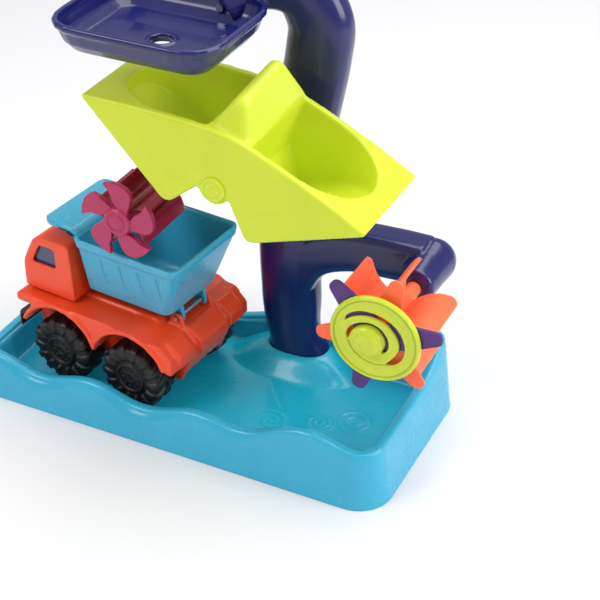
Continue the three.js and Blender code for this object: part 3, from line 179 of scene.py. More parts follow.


# Materials given an emitted glow carry painted light: they shine in their own colour as if lit through thin
# walls.
basin_plastic = plastic("aqua_polypropylene", AQUA, 0.26, 0.25, glow=0.1, painted_glow=0.05)
# The floor's painted glow is stronger than the walls', painted light that makes the floor look brighter.
floor_plastic = plastic("aqua_polypropylene_floor", AQUA_DEEP, 0.3, 0.3, glow=0.1, painted_glow=0.12)
navy_plastic = plastic("navy_polypropylene", NAVY, 0.24, 0.3)
tower_plastic = plastic("navy_polypropylene_in_two_shells", NAVY, 0.24, 0.3, seam_mm=SEAM_Y)
lime_plastic = plastic("lime_polypropylene", LIME, 0.42, 0.06, glow=0.6, painted_glow=0.14)
orange_plastic = plastic("orange_polypropylene", ORANGE, 0.36, 0.12, glow=0.2)
disc_plastic = plastic("lime_polypropylene_disc", LIME, 0.3, 0.2, glow=0.2, painted_glow=0.04)
# Darker lime for the disc's groove lines: painted shade, not a colour of its own
groove_shade_plastic = plastic("lime_polypropylene_painted_groove_shade", LIME_GROOVE_SHADE, 0.34, 0.1, glow=0.1)
paddle_plastic = plastic("coral_polypropylene", CORAL, 0.42, 0.06, glow=0.3, painted_glow=0.06)
purple_plastic = plastic("purple_polypropylene", PURPLE, 0.38, 0.1, glow=0.1)
magenta_plastic = plastic("magenta_polypropylene", MAGENTA, 0.34, 0.12, glow=0.15)
# The roller's plastic: its own crimson, partly darkened as painted shade.
maroon_plastic_with_painted_shade = plastic("maroon_polypropylene_with_painted_shade", MAROON_WITH_PAINTED_SHADE, 0.3, 0.15, glow=0.1)
sky_plastic = plastic("sky_polypropylene", SKY, 0.3, 0.2, glow=0.15)
tyre_plastic = plastic("black_elastomer", TYRE, 0.46, 0.0, grain=0.6, depth=0.03, vary=0.1)
hub_plastic = plastic("hub_elastomer", HUB, 0.5, 0.0, grain=0.6, depth=0.03, vary=0.1)
glazing_plastic = plastic("smoked_polystyrene", GLAZING, 0.12, 0.6)
zinc = metal("zinc_plated_steel", STEEL)

DRESS = {
    "tray": basin_plastic,
    "hopper": navy_plastic,
    "tower_front_shell": navy_plastic,
    "tower_rear_shell": navy_plastic,
    "tipping_bucket": lime_plastic,
    "bucket_pivot_cap": lime_plastic,
    "spiral_disc": disc_plastic,
    "petal_star": purple_plastic,
    "paddle_wheel": paddle_plastic,
    "mill_star": magenta_plastic,
    "mill_roller": maroon_plastic_with_painted_shade,
    "truck_chassis": orange_plastic,
    "truck_cab": orange_plastic,
    "truck_windows": glazing_plastic,
    "truck_front_bumper": hub_plastic,
    "truck_headlamp_left": lime_plastic,
    "truck_headlamp_right": lime_plastic,
    "truck_bed": sky_plastic,
}
for name, node in nodes.items():
    finish = DRESS.get(name, tyre_plastic if "wheel" in name else zinc)
    node.data.materials.clear()
    node.data.materials.append(finish)


# Meshes


def quads(rows, columns, wrap=True):
    """The faces of a grid of points, each row closed on itself if wrap is set."""
    r, c = np.meshgrid(np.arange(rows - 1), np.arange(columns if wrap else columns - 1), indexing="ij")
    a = (r * columns + c).ravel()
    b = (r * columns + (c + 1) % columns).ravel()
    return np.stack([a, b, b + columns, a + columns], axis=1)


def piece(name, points_mm, faces, material, body, stands_for=()):
    """A smooth-shaded mesh from points in millimetres, riding on its body."""
    mesh = bpy.data.meshes.new(name)
    mesh.from_pydata((np.asarray(points_mm) * MM).tolist(), [], [list(map(int, f)) for f in faces])
    mesh.validate()
    mesh.shade_smooth()
    mesh.materials.append(material)
    made = bpy.data.objects.new(name, mesh)
    bpy.context.scene.collection.objects.link(made)
    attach(made, body)
    if stands_for:
        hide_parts(*stands_for)
    return made


def soften(target, voxel_mm, passes):
    """Rounds a piece's edges as a mould does: an even skin of small squares, smoothed a few times."""
    remesh = target.modifiers.new("even_skin", "REMESH")
    remesh.mode = "VOXEL"
    remesh.voxel_size = voxel_mm * MM
    remesh.use_smooth_shade = True
    smooth = target.modifiers.new("moulded_edges", "SMOOTH")
    smooth.factor = 0.5
    smooth.iterations = passes


def smoothstep(x, low, high):
    """3t^2 - 2t^3 of t, which runs from 0 at low to 1 at high."""
    t = np.clip((x - low) / (high - low), 0, 1)
    return t * t * (3 - 2 * t)


def ease(value, low, high):
    """smoothstep of one number."""
    return float(smoothstep(np.array(value), low, high))


def superellipse(count, power):
    """u = sign(c)|c|^power and v = sign(s)|s|^power, c and s the cosine and sine of count even angles."""
    angle = np.linspace(0, 2 * np.pi, count, endpoint=False)
    c, s = np.cos(angle), np.sin(angle)
    return np.sign(c) * np.abs(c) ** power, np.sign(s) * np.abs(s) ** power


# Basin: the same sizes as the CAD, in millimetres

LENGTH, DEPTH, CORNER = 500, 232, 38
FLOOR_TOP = 12
RIM_LEFT, RIM_GAIN, CORNER_GAIN = 44, 25, 27
WAVE, WAVE_LENGTH, WAVE_CREST = 6.5, 126, 158
LONG_STEPS, SHORT_STEPS = 200, 70
FLOOR_INSET, FLOOR_CORNER, FLOOR_LIFT = 31, 8, 0.15
FLOOR_GRID = (380, 150)


def rim_height(x, y):
    """Rim height: it rises to the right and more to the far right corner, with waves of a cosine in x."""
    mean = RIM_LEFT + RIM_GAIN * smoothstep(x, 0, 200)
    corner = CORNER_GAIN * smoothstep(x, 100, 235) * smoothstep(y, 15, 95)
    return mean + corner + WAVE * np.cos(2 * np.pi * (x - WAVE_CREST) / WAVE_LENGTH)


def basin_loop(inset):
    """The plan of the basin drawn in by inset: x and y of points round a rounded rectangle."""
    hx, hy = LENGTH / 2 - inset, DEPTH / 2 - inset
    r = max(CORNER - inset, 4)
    turn = np.linspace(0, np.pi / 2, 17)
    xs, ys = [], []
    for cx, cy, start, count, direction in (
        (-hx + r, -hy + r, np.pi, LONG_STEPS, (1, 0)),
        (hx - r, -hy + r, 1.5 * np.pi, SHORT_STEPS, (0, 1)),
        (hx - r, hy - r, 0, LONG_STEPS, (-1, 0)),
        (-hx + r, hy - r, 0.5 * np.pi, SHORT_STEPS, (0, -1)),
    ):
        xs.append(cx + r * np.cos(start + turn))
        ys.append(cy + r * np.sin(start + turn))
        t = np.linspace(0, 1, count + 2)[1:-1]
        x0, y0 = xs[-1][-1], ys[-1][-1]
        span = 2 * (hx - r) if direction[1] == 0 else 2 * (hy - r)
        xs.append(x0 + direction[0] * span * t)
        ys.append(y0 + direction[1] * span * t)
    return np.concatenate(xs), np.concatenate(ys)


# Inset, share of the rim's height and height over it, from the floor over the rim and under it
BASIN_PROFILE = [
    (35, 0, 12.0), (31.5, 0, 12.2), (29.4, 0, 13.2), (28, 0, 15), (27.2, 0, 17.5), (26.4, 0.25, 15),
    (25.2, 0.6, 8), (24, 0.9, 0), (23.4, 1, -5.5), (23, 1, -3.2), (22, 1, -1.4), (20.3, 1, -0.4), (18, 1, 0),
    (15.5, 1, 0.1), (13.4, 1, -0.2), (11.8, 1, -1.2), (10.8, 1, -2.8), (10.1, 1, -5.2), (8.8, 0.85, 0),
    (6.6, 0.62, 0), (4.4, 0.4, 0), (2.2, 0.2, 0), (0.7, 0, 4), (0.1, 0, 1.6), (0.2, 0, 0.5), (0.9, 0, 0),
    (3, 0, 0), (4, 0, 0.5), (9, 0.5, 0), (13.6, 1, -7), (15, 1, -6), (20, 1, -6), (21.5, 1, -8), (25, 0.5, 2),
    (27, 0, 9.4), (28, 0, 9),
]


def basin():
    """Loop i has the profile's inset, and point j of it the height share * rim_height(x, y) + rise."""
    rows = []
    for inset, share, rise in BASIN_PROFILE:
        x, y = basin_loop(inset)
        z = share * rim_height(x, y) + rise
        rows.append(np.stack([x, y, z], axis=1))
    count = len(rows[0])
    faces = quads(len(rows), count)
    points = np.concatenate(rows)
    bottom = [(len(rows) - 1) * count + k for k in range(count)]
    return points, [list(f) for f in faces] + [bottom]


def segment_distance(x, y, a, b):
    """How far x, y lies from the segment between a and b."""
    a, b = np.array(a, float), np.array(b, float)
    d = b - a
    t = np.clip(((x - a[0]) * d[0] + (y - a[1]) * d[1]) / (d @ d), 0, 1)
    return np.hypot(x - a[0] - t * d[0], y - a[1] - t * d[1])


def ridge_line(distance, width, height):
    """height * exp(-(distance / width)^2)."""
    return height * np.exp(-((distance / width) ** 2))


def floor_relief(x, y):
    """Low relief of the floor: three spirals, three ripples round them and a stream from the tower."""
    rise = np.zeros_like(x)
    for cx, cy, radius, turn in ((90, -34, 21, 0.4), (138, -14, 17, 2.4), (172, 4, 22, 4.4)):
        r = np.hypot(x - cx, y - cy)
        angle = np.arctan2(y - cy, x - cx) + turn
        pitch = radius / 2.6
        phase = r / pitch - angle / (2 * np.pi)
        band = np.abs(phase - np.round(phase)) * pitch
        rise += ridge_line(band, 1.3, 0.6) * smoothstep(radius - r, -1, 2)
    r = np.hypot((x - 132) / 1.5, y + 20)
    faded = smoothstep(x, 60, 110) * smoothstep(-y, -10, 30)
    for ripple in (46, 53, 60):
        rise += ridge_line(np.abs(r - ripple), 1.0, 0.35) * faded
    rise += ridge_line(segment_distance(x, y, (30, 60), (122, -44)), 2.6, 0.5)
    return rise


def basin_floor():
    """The floor as a grid in u and v, drawn in to the rounded rectangle of the floor, with its relief."""
    hx, hy, r = LENGTH / 2 - FLOOR_INSET, DEPTH / 2 - FLOOR_INSET, FLOOR_CORNER
    u, v = (np.linspace(-h, h, count) for h, count in zip((hx, hy), FLOOR_GRID))
    u, v = np.meshgrid(u, v, indexing="ij")
    over_x, over_y = np.maximum(np.abs(u) - (hx - r), 0), np.maximum(np.abs(v) - (hy - r), 0)
    reach = np.hypot(over_x, over_y)
    pull = np.where(reach > r, r / np.maximum(reach, 1e-6), 1)
    x = np.sign(u) * (np.minimum(np.abs(u), hx - r) + over_x * pull)
    y = np.sign(v) * (np.minimum(np.abs(v), hy - r) + over_y * pull)
    edge = np.minimum(hx - np.abs(u), hy - np.abs(v))
    z = FLOOR_TOP + FLOOR_LIFT + floor_relief(x, y) * smoothstep(edge, 0, 8)
    points = np.stack([x.ravel(), y.ravel(), z.ravel()], axis=1)
    return points, quads(*FLOOR_GRID, wrap=False)


# The hill at the tower's foot: its middle, width and heights, and the basin's wall behind it
MOUND_X, MOUND_WIDTH, MOUND_FOOT, MOUND_RISE, MOUND_BACK, MOUND_SIDES = 66.4, 50, 11.4, 22.6, 92.4, 160


def mound():
    """The hill round the tower's foot.

    Each loop is the foot's superellipse grown by g, at the height MOUND_FOOT + MOUND_RISE (1 - smoothstep(g)),
    g from 0 to MOUND_WIDTH. Two more loops, inside the tower's skin, turn the top in and down.
    """
    u, v = superellipse(MOUND_SIDES, 0.8)
    tucked = [(-0.6, 0), (-0.7, 8)]
    rows = []
    for grow, drop in [(g, 0) for g in np.linspace(MOUND_WIDTH, 0, 34)] + tucked:
        z = MOUND_FOOT + MOUND_RISE * (1 - ease(grow, 0, MOUND_WIDTH)) - drop
        x = MOUND_X + u * (35 + grow)
        y = np.minimum(SEAM_Y + v * (23.2 + 0.55 * grow), MOUND_BACK)
        rows.append(np.column_stack([x, y, np.full(MOUND_SIDES, z)]))
    return np.concatenate(rows), quads(len(rows), MOUND_SIDES)


piece("basin_shell", *basin(), basin_plastic, "base", ["tray"])
piece("basin_floor", *basin_floor(), floor_plastic, "base")
piece("tower_mound", *mound(), floor_plastic, "base")


# Tower: limbs along smooth paths, joined into one skin


def centripetal(points, t):
    """A centripetal Catmull-Rom curve through the points, at parameters t from 0 to 1."""
    p = np.asarray(points, float)
    ends = np.vstack([2 * p[0] - p[1], p, 2 * p[-1] - p[-2]])
    place = np.clip(t, 0, 1) * (len(p) - 1)
    i = np.minimum(place.astype(int), len(p) - 2)
    w = (place - i)[:, None]
    a, b, c, d = (ends[i + k] for k in range(4))
    step = lambda m, n: np.maximum(((m - n) ** 2).sum(1, keepdims=True) ** 0.25, 1e-4)
    d0, d1, d2 = step(a, b), step(b, c), step(c, d)
    t1 = ((b - a) / d0 - (c - a) / (d0 + d1) + (c - b) / d1) * d1
    t2 = ((c - b) / d1 - (d - b) / (d1 + d2) + (d - c) / d2) * d1
    return b + t1 * w + (-3 * b + 3 * c - 2 * t1 - t2) * w**2 + (2 * b - 2 * c + t1 + t2) * w**3


def capped(rings):
    """One closed skin over rings of points, with a fan at each end."""
    rows, count = len(rings), len(rings[0])
    points = np.concatenate([*rings, [rings[0].mean(0)], [rings[-1].mean(0)]])
    faces = quads(rows, count).tolist()
    first, last = rows * count, rows * count + 1
    for k in range(count):
        n = (k + 1) % count
        faces.append([first, n, k])
        faces.append([last, (rows - 1) * count + k, (rows - 1) * count + n])
    return points, faces


def limb(path, wide, deep, power, steps=150, sides=96):
    """A capped skin over superellipses across a path, wide(t) and deep(t) their half sizes at share t of it."""
    t = np.linspace(0, 1, steps)
    centre = centripetal(path, t)
    along = centripetal(path, np.minimum(t + 1e-4, 1)) - centripetal(path, np.maximum(t - 1e-4, 0))
    along /= np.linalg.norm(along, axis=1, keepdims=True)
    across = np.stack([along[:, 2], np.zeros(steps), -along[:, 0]], axis=1)
    across /= np.linalg.norm(across, axis=1, keepdims=True)
    depth = np.cross(along, across)
    u, v = superellipse(sides, power)
    rings = [
        centre[k] + np.outer(u * wide(t[k]), across[k]) + np.outer(v * deep(t[k]), depth[k])
        for k in range(steps)
    ]
    return capped(rings)


def ring_at(x, y, z, radius, sides):
    """A circle of points in the plane of x and z at that y."""
    angle = np.linspace(0, 2 * np.pi, sides, endpoint=False)
    return np.stack([x + radius * np.cos(angle), np.full(sides, y), z + radius * np.sin(angle)], axis=1)


def barrel(x, z, radius, front, back, lift, grow, sides=72):
    """A round barrel along y that rises by lift and grows towards its rounded back end."""
    middle = (front + back) / 2
    stations = [
        (front, radius - 3), (front + 0.4, radius - 1.6), (front + 1.2, radius - 0.6), (front + 2.6, radius),
        (middle, radius + grow / 2), (back - 14, radius + grow), (back - 8, radius + grow - 1),
        (back - 4, radius + grow - 3), (back - 1.4, radius + grow - 6.5), (back, radius + grow - 11),
    ]
    rings = [ring_at(x, y, z + lift * ease(y, front, back), r, sides) for y, r in stations]
    return capped(rings)


def merged(parts):
    """Several meshes as one list of points and faces."""
    points, faces, count = [], [], 0
    for p, f in parts:
        points.append(np.asarray(p))
        faces += [[k + count for k in face] for face in f]
        count += len(p)
    return np.concatenate(points), faces


# Where the tower stands, the pivots it carries and the routes of its limbs, as in the CAD
TX, TY = 67, SEAM_Y
SPIN_X, SPIN_Z = 220, 181.5
MILL_X, MILL_Z = -58, 246
BUCKET_X, BUCKET_Z = 58, 316
COLUMN = [
    (TX + 2, TY, 2.3), (TX, TY, 30), (TX - 7, TY, 66), (TX - 9, TY, 110), (TX - 11, TY, 165),
    (TX - 5, TY, 240), (TX + 8, TY, 319), (TX + 22, TY, 393), (TX + 24, TY - 1, 430), (TX + 4, TY - 5, 461),
    (TX - 32, TY - 16, 464), (8, 32, 447),
]
RIGHT_ARM = [
    (TX - 8, TY, 87.5), (TX - 2, TY, 124.5), (TX + 20, TY, 160.5), (TX + 60, TY, 179.5),
    (SPIN_X - 42, TY, SPIN_Z + 3), (SPIN_X - 5, TY, SPIN_Z + 3.5),
]
LEFT_ARM = [
    (TX - 10, TY, 170), (TX - 18, TY, 206), (TX - 46, TY, 238), (TX - 82, TY, 248), (MILL_X, TY, MILL_Z),
]
ARM_WIDE, ARM_DEEP, BARREL_BACK = 24, 20, 100


def column_width(t):
    """Half the column's width: wide at its foot, with a waist over that, and narrower up the neck."""
    foot = 15 * (1 - ease(t, 0.02, 0.14))
    waist = 4 * (1 - ease(t, 0.14, 0.26))
    return 34 + foot - waist - 10 * ease(t, 0.7, 1)


def column_depth(t):
    """Half its depth, which shrinks up the neck too."""
    return 22 - 4 * ease(t, 0.7, 1)


def arm(path, steps):
    """A limb with nearly square rings of one size."""
    return limb(path, lambda t: ARM_WIDE, lambda t: ARM_DEEP, 0.4, steps, 144)


def cylinder(x, z, radius, front, back, sides=64):
    """A cylinder along y with a small chamfer at its front."""
    stations = [(front, radius - 0.8), (front + 0.8, radius), (back, radius)]
    return capped([ring_at(x, y, z, r, sides) for y, r in stations])


tower_parts = [
    limb(COLUMN, column_width, column_depth, 0.8),
    arm(RIGHT_ARM, 90),
    arm(LEFT_ARM, 60),
    barrel(SPIN_X, SPIN_Z, 20, 33, BARREL_BACK, 3.5, 4),
    barrel(MILL_X, MILL_Z, 22, 16, BARREL_BACK, 0, 2),
    cylinder(BUCKET_X, BUCKET_Z, 14.5, 41, 70),
]
tower_shells = ["tower_front_shell", "tower_rear_shell"]
tower = piece("tower_skin", *merged(tower_parts), tower_plastic, "base", tower_shells)
soften(tower, 1.45, 6)


# Truck, in its own frame: x forward from the rear axle, y to its left, z from under its tyres

TRUCK_PLACE = (-49, -8, FLOOR_TOP + 0.8)
TRUCK_YAW = math.radians(174)
WHEEL_RADIUS, WHEEL_Y, WHEELBASE = 39, 57, 95


def on_truck(points):
    """Points in the truck's frame turned by its yaw and set where it stands."""
    p = np.asarray(points, float)
    c, s = math.cos(TRUCK_YAW), math.sin(TRUCK_YAW)
    turned = np.stack([p[:, 0] * c - p[:, 1] * s, p[:, 0] * s + p[:, 1] * c, p[:, 2]], axis=1)
    return turned + np.array(TRUCK_PLACE)


# Half of a wheel's section, from the hub's middle to the middle of the tread: radius, y, share of the lugs
TYRE_SECTION = [
    (0.2, 14.6, 0), (4, 14.6, 0), (4.6, 15.4, 0), (6.2, 15.4, 0), (6.8, 14.6, 0), (14.2, 14.6, 0),
    (14.9, 16.4, 0), (15.6, 16.9, 0), (17.2, 16.9, 0), (18, 16.2, 0), (18.6, 14.4, 0), (20, 14.2, 0),
    (21.4, 14.8, 0.25), (24, 15.4, 0.8), (28, 15.6, 1), (32, 15.2, 1), (34.6, 14, 1), (35.7, 11.5, 1),
    (35.9, 8, 1), (36, 0, 1),
]
LUGS, LUG_RISE, SIDE_RISE = 14, 2.9, 2.3
HUB_HOLES, HOLE_RING, HOLE_DEPTH = 9, 10, 1.3


def tyre_section(count=78):
    """The section's points at even steps, both halves, with the distance s from the tread's middle."""
    half = np.array(TYRE_SECTION)
    step = np.hypot(*np.diff(half[:, :2], axis=0).T)
    place = np.concatenate([[0], np.cumsum(step)])
    at = np.linspace(0, place[-1], count)
    r, y, share = (np.interp(at, place, half[:, k]) for k in range(3))
    s = place[-1] - at
    r, y, share = (np.concatenate([v, v[-2::-1]]) for v in (r, y, share))
    side = np.concatenate([np.ones(count), -np.ones(count - 1)])
    return r, y * side, share, np.concatenate([s, s[-2::-1]]) * side


def tyre(x, side, around=252):
    """A wheel: r and y of the section, pushed out along its normal by LUG_RISE where the lug wave is high.

    The wave is the distance of LUGS * angle / 2 pi + sweep(s) from a whole number; each side's lugs lie half
    a pitch from the other's and sweep back towards the hub. Small holes ring the hub.
    """
    r, y, share, s = tyre_section()
    dr, dy = np.gradient(r), np.gradient(y)
    size = np.hypot(dr, dy)
    normal_r, normal_y = -dy / size, dr / size
    angle = np.linspace(0, 2 * np.pi, around, endpoint=False)
    sweep = 0.5 * (s > 0) - 0.045 * np.abs(s) + 0.0011 * s**2
    phase = LUGS * angle[None, :] / (2 * np.pi) + sweep[:, None]
    wave = np.abs(phase - np.round(phase))
    width = 0.27 - 0.09 * smoothstep(np.abs(s), 12, 30)
    lug = 1 - smoothstep(wave, width[:, None] - 0.07, width[:, None] + 0.05)
    rise = LUG_RISE * lug * share[:, None] * smoothstep(np.abs(s), 0.6, 2.4)[:, None]
    rise = np.minimum(rise, np.where(r > 34.5, LUG_RISE, SIDE_RISE)[:, None])
    holes = np.zeros_like(rise)
    over, up_by = r[:, None] * np.cos(angle), r[:, None] * np.sin(angle)
    for k in range(HUB_HOLES):
        turn = 2 * np.pi * k / HUB_HOLES
        away = np.hypot(over - HOLE_RING * np.cos(turn), up_by - HOLE_RING * np.sin(turn))
        holes -= HOLE_DEPTH * (1 - smoothstep(away, 0.7, 1.5)) * (np.abs(y)[:, None] > 14)
    rise = rise + holes
    radius = r[:, None] + rise * np.abs(normal_r)[:, None]
    lateral = y[:, None] + rise * np.sign(y)[:, None] * np.abs(normal_y)[:, None]
    across = side * WHEEL_Y + lateral * side
    flat = np.stack([x + radius * np.cos(angle), across, WHEEL_RADIUS + radius * np.sin(angle)], axis=-1)
    return on_truck(flat.reshape(-1, 3)), quads(len(r), around)


for end, x in (("rear", 0), ("front", WHEELBASE)):
    for label, side in (("left", 1), ("right", -1)):
        name = f"truck_wheel_{end}_{label}"
        piece(f"tyre_{end}_{label}", *tyre(x, side), tyre_plastic, f"{end}_wheels", [name])

# The bed's sections: height, back end, front end, half width
BED = np.array([(107, -14, 72, 36), (115, -35, 75, 44), (173, -55, 74, 57), (184, -56, 75, 59)], float)
BED_RIM, BED_FRONT, BED_WALL = 184, 75, 3
GROOVES, GROOVE_DEPTH, GROOVE_WIDTH, GROOVE_BEND = (-30, -6, 18, 42), 1.5, 1.1, 2.2
HINGE, PIN_BORE = (-32, 102), 3.5
LONG_SIDE, SHORT_SIDE = np.linspace(0, 1, 192)[1:-1], np.linspace(0, 1, 42)[1:-1]


def bed_loop(z, grow, corner):
    """The bed's plan at one height, grown by grow: long sides with 190 points, ends with 40."""
    back, front, half = (np.interp(z, BED[:, 0], BED[:, k]) for k in (1, 2, 3))
    hx, hy, cx = (front - back) / 2 + grow, half + grow, (front + back) / 2
    r = max(corner + grow, 1)
    turn = np.linspace(0, np.pi / 2, 12)
    sides = ((1, 1, LONG_SIDE), (-1, 1, SHORT_SIDE), (-1, -1, LONG_SIDE), (1, -1, SHORT_SIDE))
    parts = []
    for k, (sx, sy, run) in enumerate(sides):
        a = k * np.pi / 2 + turn
        start = np.stack([cx + sx * (hx - r) + r * np.cos(a), sy * (hy - r) + r * np.sin(a)], axis=1)
        nx, ny = ((-sx, sy) if k % 2 == 0 else (sx, -sy))
        following = np.array([cx + nx * (hx - r) + r * np.cos(a[-1]), ny * (hy - r) + r * np.sin(a[-1])])
        parts += [start, start[-1] + run[:, None] * (following - start[-1])]
    return np.concatenate(parts)


def bed_shell():
    """The bed's skin from its bottom over the banded rim to the inner floor, grooves pressed into its sides.

    A row is a height, how far the plan is grown there and its corners' radius.
    """
    rows = [(107, -9, 8), (107, -3, 8), (107.5, -1.2, 8), (108.6, -0.2, 9)]
    rows += [(z, 0, 9) for z in np.concatenate([np.linspace(110, 120, 9), np.linspace(121, 172, 48)])]
    rows += [(173, 0.1, 9), (173.6, 0.9, 9), (174.4, 1.6, 9), (175.6, 1.8, 9), (180, 1.8, 9), (182.6, 1.7, 9)]
    rows += [(183.6, 1.2, 9), (BED_RIM, 0.2, 9), (BED_RIM, -1.4, 9), (183.6, -2.3, 9), (182.4, -2.9, 9)]
    rows += [(z, -BED_WALL, 9) for z in [180, *np.linspace(174, 118, 16)]]
    rows += [(114, -3.4, 10), (112, -4.6, 10), (110.6, -7, 10), (110.1, -11, 10), (110, -16, 8)]
    loops = []
    for k, (z, grow, corner) in enumerate(rows):
        loop = bed_loop(z, grow, corner)
        if 12 < k < 62 and grow == 0:
            window = ease(z, 129, 132) * (1 - ease(z, 164, 167))
            half = np.interp(z, BED[:, 0], BED[:, 3])
            bend = GROOVE_BEND * ease(z, 144, 130)
            cut = sum(ridge_line(loop[:, 0] - x + bend, GROOVE_WIDTH, 1) for x in GROOVES)
            on_side = np.abs(loop[:, 1]) > half - 0.5
            loop[:, 1] -= np.sign(loop[:, 1]) * GROOVE_DEPTH * window * cut * on_side
        loops.append(np.column_stack([loop, np.full(len(loop), z)]))
    count = len(loops[0])
    faces = quads(len(loops), count).tolist()
    faces += [list(range(count)), [(len(loops) - 1) * count + k for k in range(count)][::-1]]
    return np.concatenate(loops), faces


def cab_guard():
    """The guard over the cab: one rounded section swept across, drawn in at its front corners."""
    section = [(-2.4, 174), (2, 173.4), (4.5, 177), (6.6, 184), (9, 186.6), (44, 186.6), (45.6, 187.6)]
    section += [(46, 188.8), (45.4, 190.4), (43.6, 191), (8, 191), (4, 190), (0, 185.6), (-2.4, 183.4)]
    rings = []
    for y in np.concatenate([[-52, -51.8, -51], np.linspace(-50, 50, 61), [51, 51.8, 52]]):
        corner = 12 * (1 - math.sqrt(max(1 - (max(abs(y) - 40, 0) / 12) ** 2, 0)))
        thin = 1 - 0.35 * ease(abs(y), 51, 52)
        ring = [(BED_FRONT + min(u, 46 - corner), y, BED_RIM + (z - BED_RIM) * thin) for u, z in section]
        rings.append(np.array(ring))
    return capped(rings)


def boss(x, y, z, radius, rise):
    """A low round boss: height rise * (1 - (r/radius)^6)."""
    a = np.linspace(0, 2 * np.pi, 48, endpoint=False)
    rings = []
    for share in (1, 0.97, 0.9, 0.75, 0.5, 0.2):
        r = radius * share
        height = np.full(48, z + rise * (1 - share**6))
        rings.append(np.stack([x + r * np.cos(a), y + r * np.sin(a), height], axis=1))
    return capped(rings)


def bed_lug(y):
    """A hinge lug: for each angle round the pin, from the bore's radius out to the lug's straight edges."""
    hx, hz = HINGE
    corners = [(-4, 13), (-5.6, 0), (-5, -4.6), (-4, -5.6), (4, -5.6), (5, -4.6), (14, 7), (12, 13)]
    corners = np.array(corners, float)
    angle = np.linspace(0, 2 * np.pi, 96, endpoint=False)
    reach = np.full(96, 40.0)
    for a, b in zip(corners, np.roll(corners, -1, axis=0)):
        normal = np.array([b[1] - a[1], a[0] - b[0]])
        normal = normal * np.sign(normal @ a)
        facing = np.cos(angle) * normal[0] + np.sin(angle) * normal[1]
        reach = np.where(facing > 1e-6, np.minimum(reach, (normal @ a) / np.maximum(facing, 1e-6)), reach)
    edge = [(reach - 0.3, -2.1), (reach, -1.8), (reach, 1.8), (reach - 0.3, 2.1)]
    section = [(PIN_BORE, -2.1), *edge, (PIN_BORE, 2.1), (PIN_BORE, -2.1)]
    rings = [ring_at(hx, y + depth, hz, radius, 96) for radius, depth in section]
    return np.concatenate(rings), quads(len(rings), 96)


bed_parts = [bed_shell(), cab_guard()]
bed_parts += [bed_lug(y) for y in (-20, 20)]
bed_parts += [boss(104, y, 190.8, 8, 1.2) for y in (34, -34)]
bed_points, bed_faces = merged(bed_parts)
piece("bed_skin", on_truck(bed_points), bed_faces, sky_plastic, "dump_bed", ["truck_bed"])

# Low relief on the spiral disc's front, and thin lines painted darker as the shade of its grooves

DISC_FRONT = -68
EYE_X, EYE_Z = SPIN_X - 8, SPIN_Z - 4


def bead(path, width, height, closed=False):
    """A raised line: half an ellipse swept along a path on the disc. An open one thins out at its ends."""
    p = np.asarray(path, float)
    count = len(p)
    ahead = (np.roll(p, -1, 0) - np.roll(p, 1, 0)) if closed else np.gradient(p, axis=0)
    side = np.cross(ahead, (0, 1, 0))
    side /= np.linalg.norm(side, axis=1, keepdims=True)
    t = np.linspace(0, 1, count)
    size = np.ones(count) if closed else 0.1 + 0.9 * smoothstep(np.minimum(t, 1 - t), 0, 0.12)
    section = [(math.cos(a) * width / 2, -math.sin(a) * height) for a in np.linspace(0, math.pi, 9)]
    section += [(-width / 2, 0.8), (width / 2, 0.8)]
    rings = [p[k] + size[k] * np.array([u * side[k] + (0, v, 0) for u, v in section]) for k in range(count)]
    if not closed:
        return capped(rings)
    faces = quads(count + 1, len(section))
    return np.concatenate(rings), (faces % (count * len(section))).tolist()


def polar(x, z, y, radius, start, stop, steps=160):
    """Points at angles from start to stop, in degrees: radius(t) from x, z and y(radius) behind the front."""
    t = np.linspace(0, 1, steps)
    angle = np.radians(start + (stop - start) * t)
    r = np.array([radius(v) for v in t])
    height = np.array([y(v) for v in r])
    return np.stack([x + r * np.cos(angle), DISC_FRONT + height, z + r * np.sin(angle)], axis=1)


def disc_face(r):
    """How far the disc's front lies back at radius r, millimetres."""
    return float(np.interp(r, (0, 22, 36.8, 42.8, 47), (0.6, 0.6, 1.4, 0, 0)))


def eye_face(r):
    """The same for the domed eye, by the distance from its own middle."""
    return float(np.interp(r, (0, 9, 15, 17.4, 18), (-7.5, -7.0, -5.0, -2.3, 0)))


def circle(radius):
    """A whole turn about the disc's middle."""
    return polar(SPIN_X, SPIN_Z, disc_face, lambda t: radius, 0, 360 - 360 / 161)


def band_line(radius, start, stop):
    """An arc along the disc's middle band, drawn in by 0.2 on its way."""
    return polar(SPIN_X, SPIN_Z, disc_face, lambda t: radius - 0.2 * t, start, stop, 80)


eye_spiral = polar(EYE_X, EYE_Z, eye_face, lambda t: 2.2 + 10.5 * t, 60, 560, 200)
ridges = [
    bead(circle(45.2), 2.6, 1.1, True),
    bead(band_line(30.6, -62, -170), 1.8, 0.9),
    bead(eye_spiral, 1.9, 0.6),
]
# Thin raised lines in the darker lime: painted shade of the grooves they stand for.
lines = [
    bead(circle(42.7), 1.1, 0.25, True),
    bead(band_line(29.1, -64, -168), 1.1, 0.3),
]
piece("disc_ridges", *merged(ridges), disc_plastic, "spinner")
piece("disc_lines_painted_shade", *merged(lines), groove_shade_plastic, "spinner")

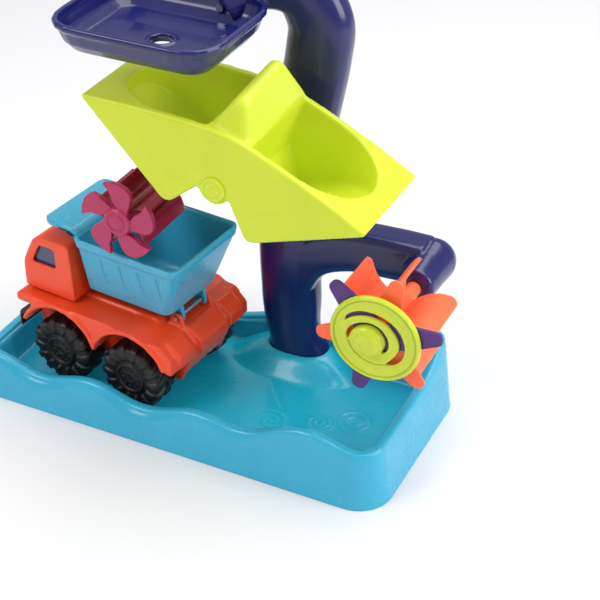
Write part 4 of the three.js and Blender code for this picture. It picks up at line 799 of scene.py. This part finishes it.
# CAD nodes that get a finer skin: size of its squares in millimetres, and how often it is smoothed
SOFT = {
    "tipping_bucket": (1.8, 8),
    "bucket_pivot_cap": (0.35, 3),
    "spiral_disc": (0.55, 6),
    "petal_star": (0.5, 6),
    "paddle_wheel": (0.9, 4),
    "mill_star": (0.5, 5),
    "mill_roller": (0.95, 4),
    "hopper": (1.3, 8),
    "truck_chassis": (1.4, 4),
    "truck_cab": (1.1, 4),
    "truck_front_bumper": (0.9, 4),
    "truck_headlamp_left": (0.4, 3),
    "truck_headlamp_right": (0.4, 3),
}
for name, (voxel, passes) in SOFT.items():
    soften(nodes[name], voxel, passes)

# Camera, at the photograph's place

CAMERA_PLACE = (0.6716, -1.1568, 1.0215)
CAMERA_RIGHT = (0.8988, 0.4384, 0)
CAMERA_UP = (-0.2452, 0.5026, 0.8290)
CAMERA_AHEAD = (-0.3634, 0.7451, -0.5592)

camera = bpy.data.cameras.new("camera")
camera.lens, camera.sensor_width, camera.clip_end = 90, 36, 20
camera_object = bpy.data.objects.new("camera", camera)
bpy.context.scene.collection.objects.link(camera_object)
turn = Matrix([[r, u, -a] for r, u, a in zip(CAMERA_RIGHT, CAMERA_UP, CAMERA_AHEAD)]).to_4x4()
camera_object.matrix_world = Matrix.Translation(CAMERA_PLACE) @ turn
bpy.context.scene.camera = camera_object

# Floor, light and background

GROUND_HALF = 6
corners = [(x * GROUND_HALF, y * GROUND_HALF, 0) for x, y in ((-1, -1), (1, -1), (1, 1), (-1, 1))]
floor = bpy.data.meshes.new("ground")
floor.from_pydata(corners, [], [(0, 1, 2, 3)])
ground = bpy.data.objects.new("ground", floor)
bpy.context.scene.collection.objects.link(ground)
paper, tree, shader = bare("white_paper")
shader.inputs["Base Color"].default_value = [0.8, 0.8, 0.815, 1]
shader.inputs["Roughness"].default_value = 0.75
floor.materials.append(paper)


def softbox(name, place, target, size, power, colour=(1, 1, 1)):
    """A rectangular lamp at a place in metres that faces a target."""
    lamp = bpy.data.lights.new(name, "AREA")
    lamp.shape = "RECTANGLE"
    lamp.size, lamp.size_y = size
    lamp.energy, lamp.color = power, colour
    lamp_object = bpy.data.objects.new(name, lamp)
    bpy.context.scene.collection.objects.link(lamp_object)
    lamp_object.location = place
    lamp_object.rotation_mode = "QUATERNION"
    lamp_object.rotation_quaternion = (Vector(target) - Vector(place)).to_track_quat("-Z", "Y")


softbox("key", (-1.2, -1.5, 1.9), (0.05, 0, 0.15), (1.4, 1.2), 26)
softbox("top", (0.4, 0.6, 2.2), (0.05, 0, 0.1), (2.2, 1.6), 34)
softbox("side", (2.2, 0.1, 1.1), (0.1, 0, 0.15), (1.6, 1.2), 30, (0.97, 0.98, 1))

world = bpy.data.worlds.new("studio")
bpy.context.scene.world = world
world.use_nodes = True
world.node_tree.nodes["Background"].inputs[0].default_value = [1, 1, 1, 1]
world.node_tree.nodes["Background"].inputs[1].default_value = 0.5

bpy.context.scene.view_settings.view_transform = "Standard"
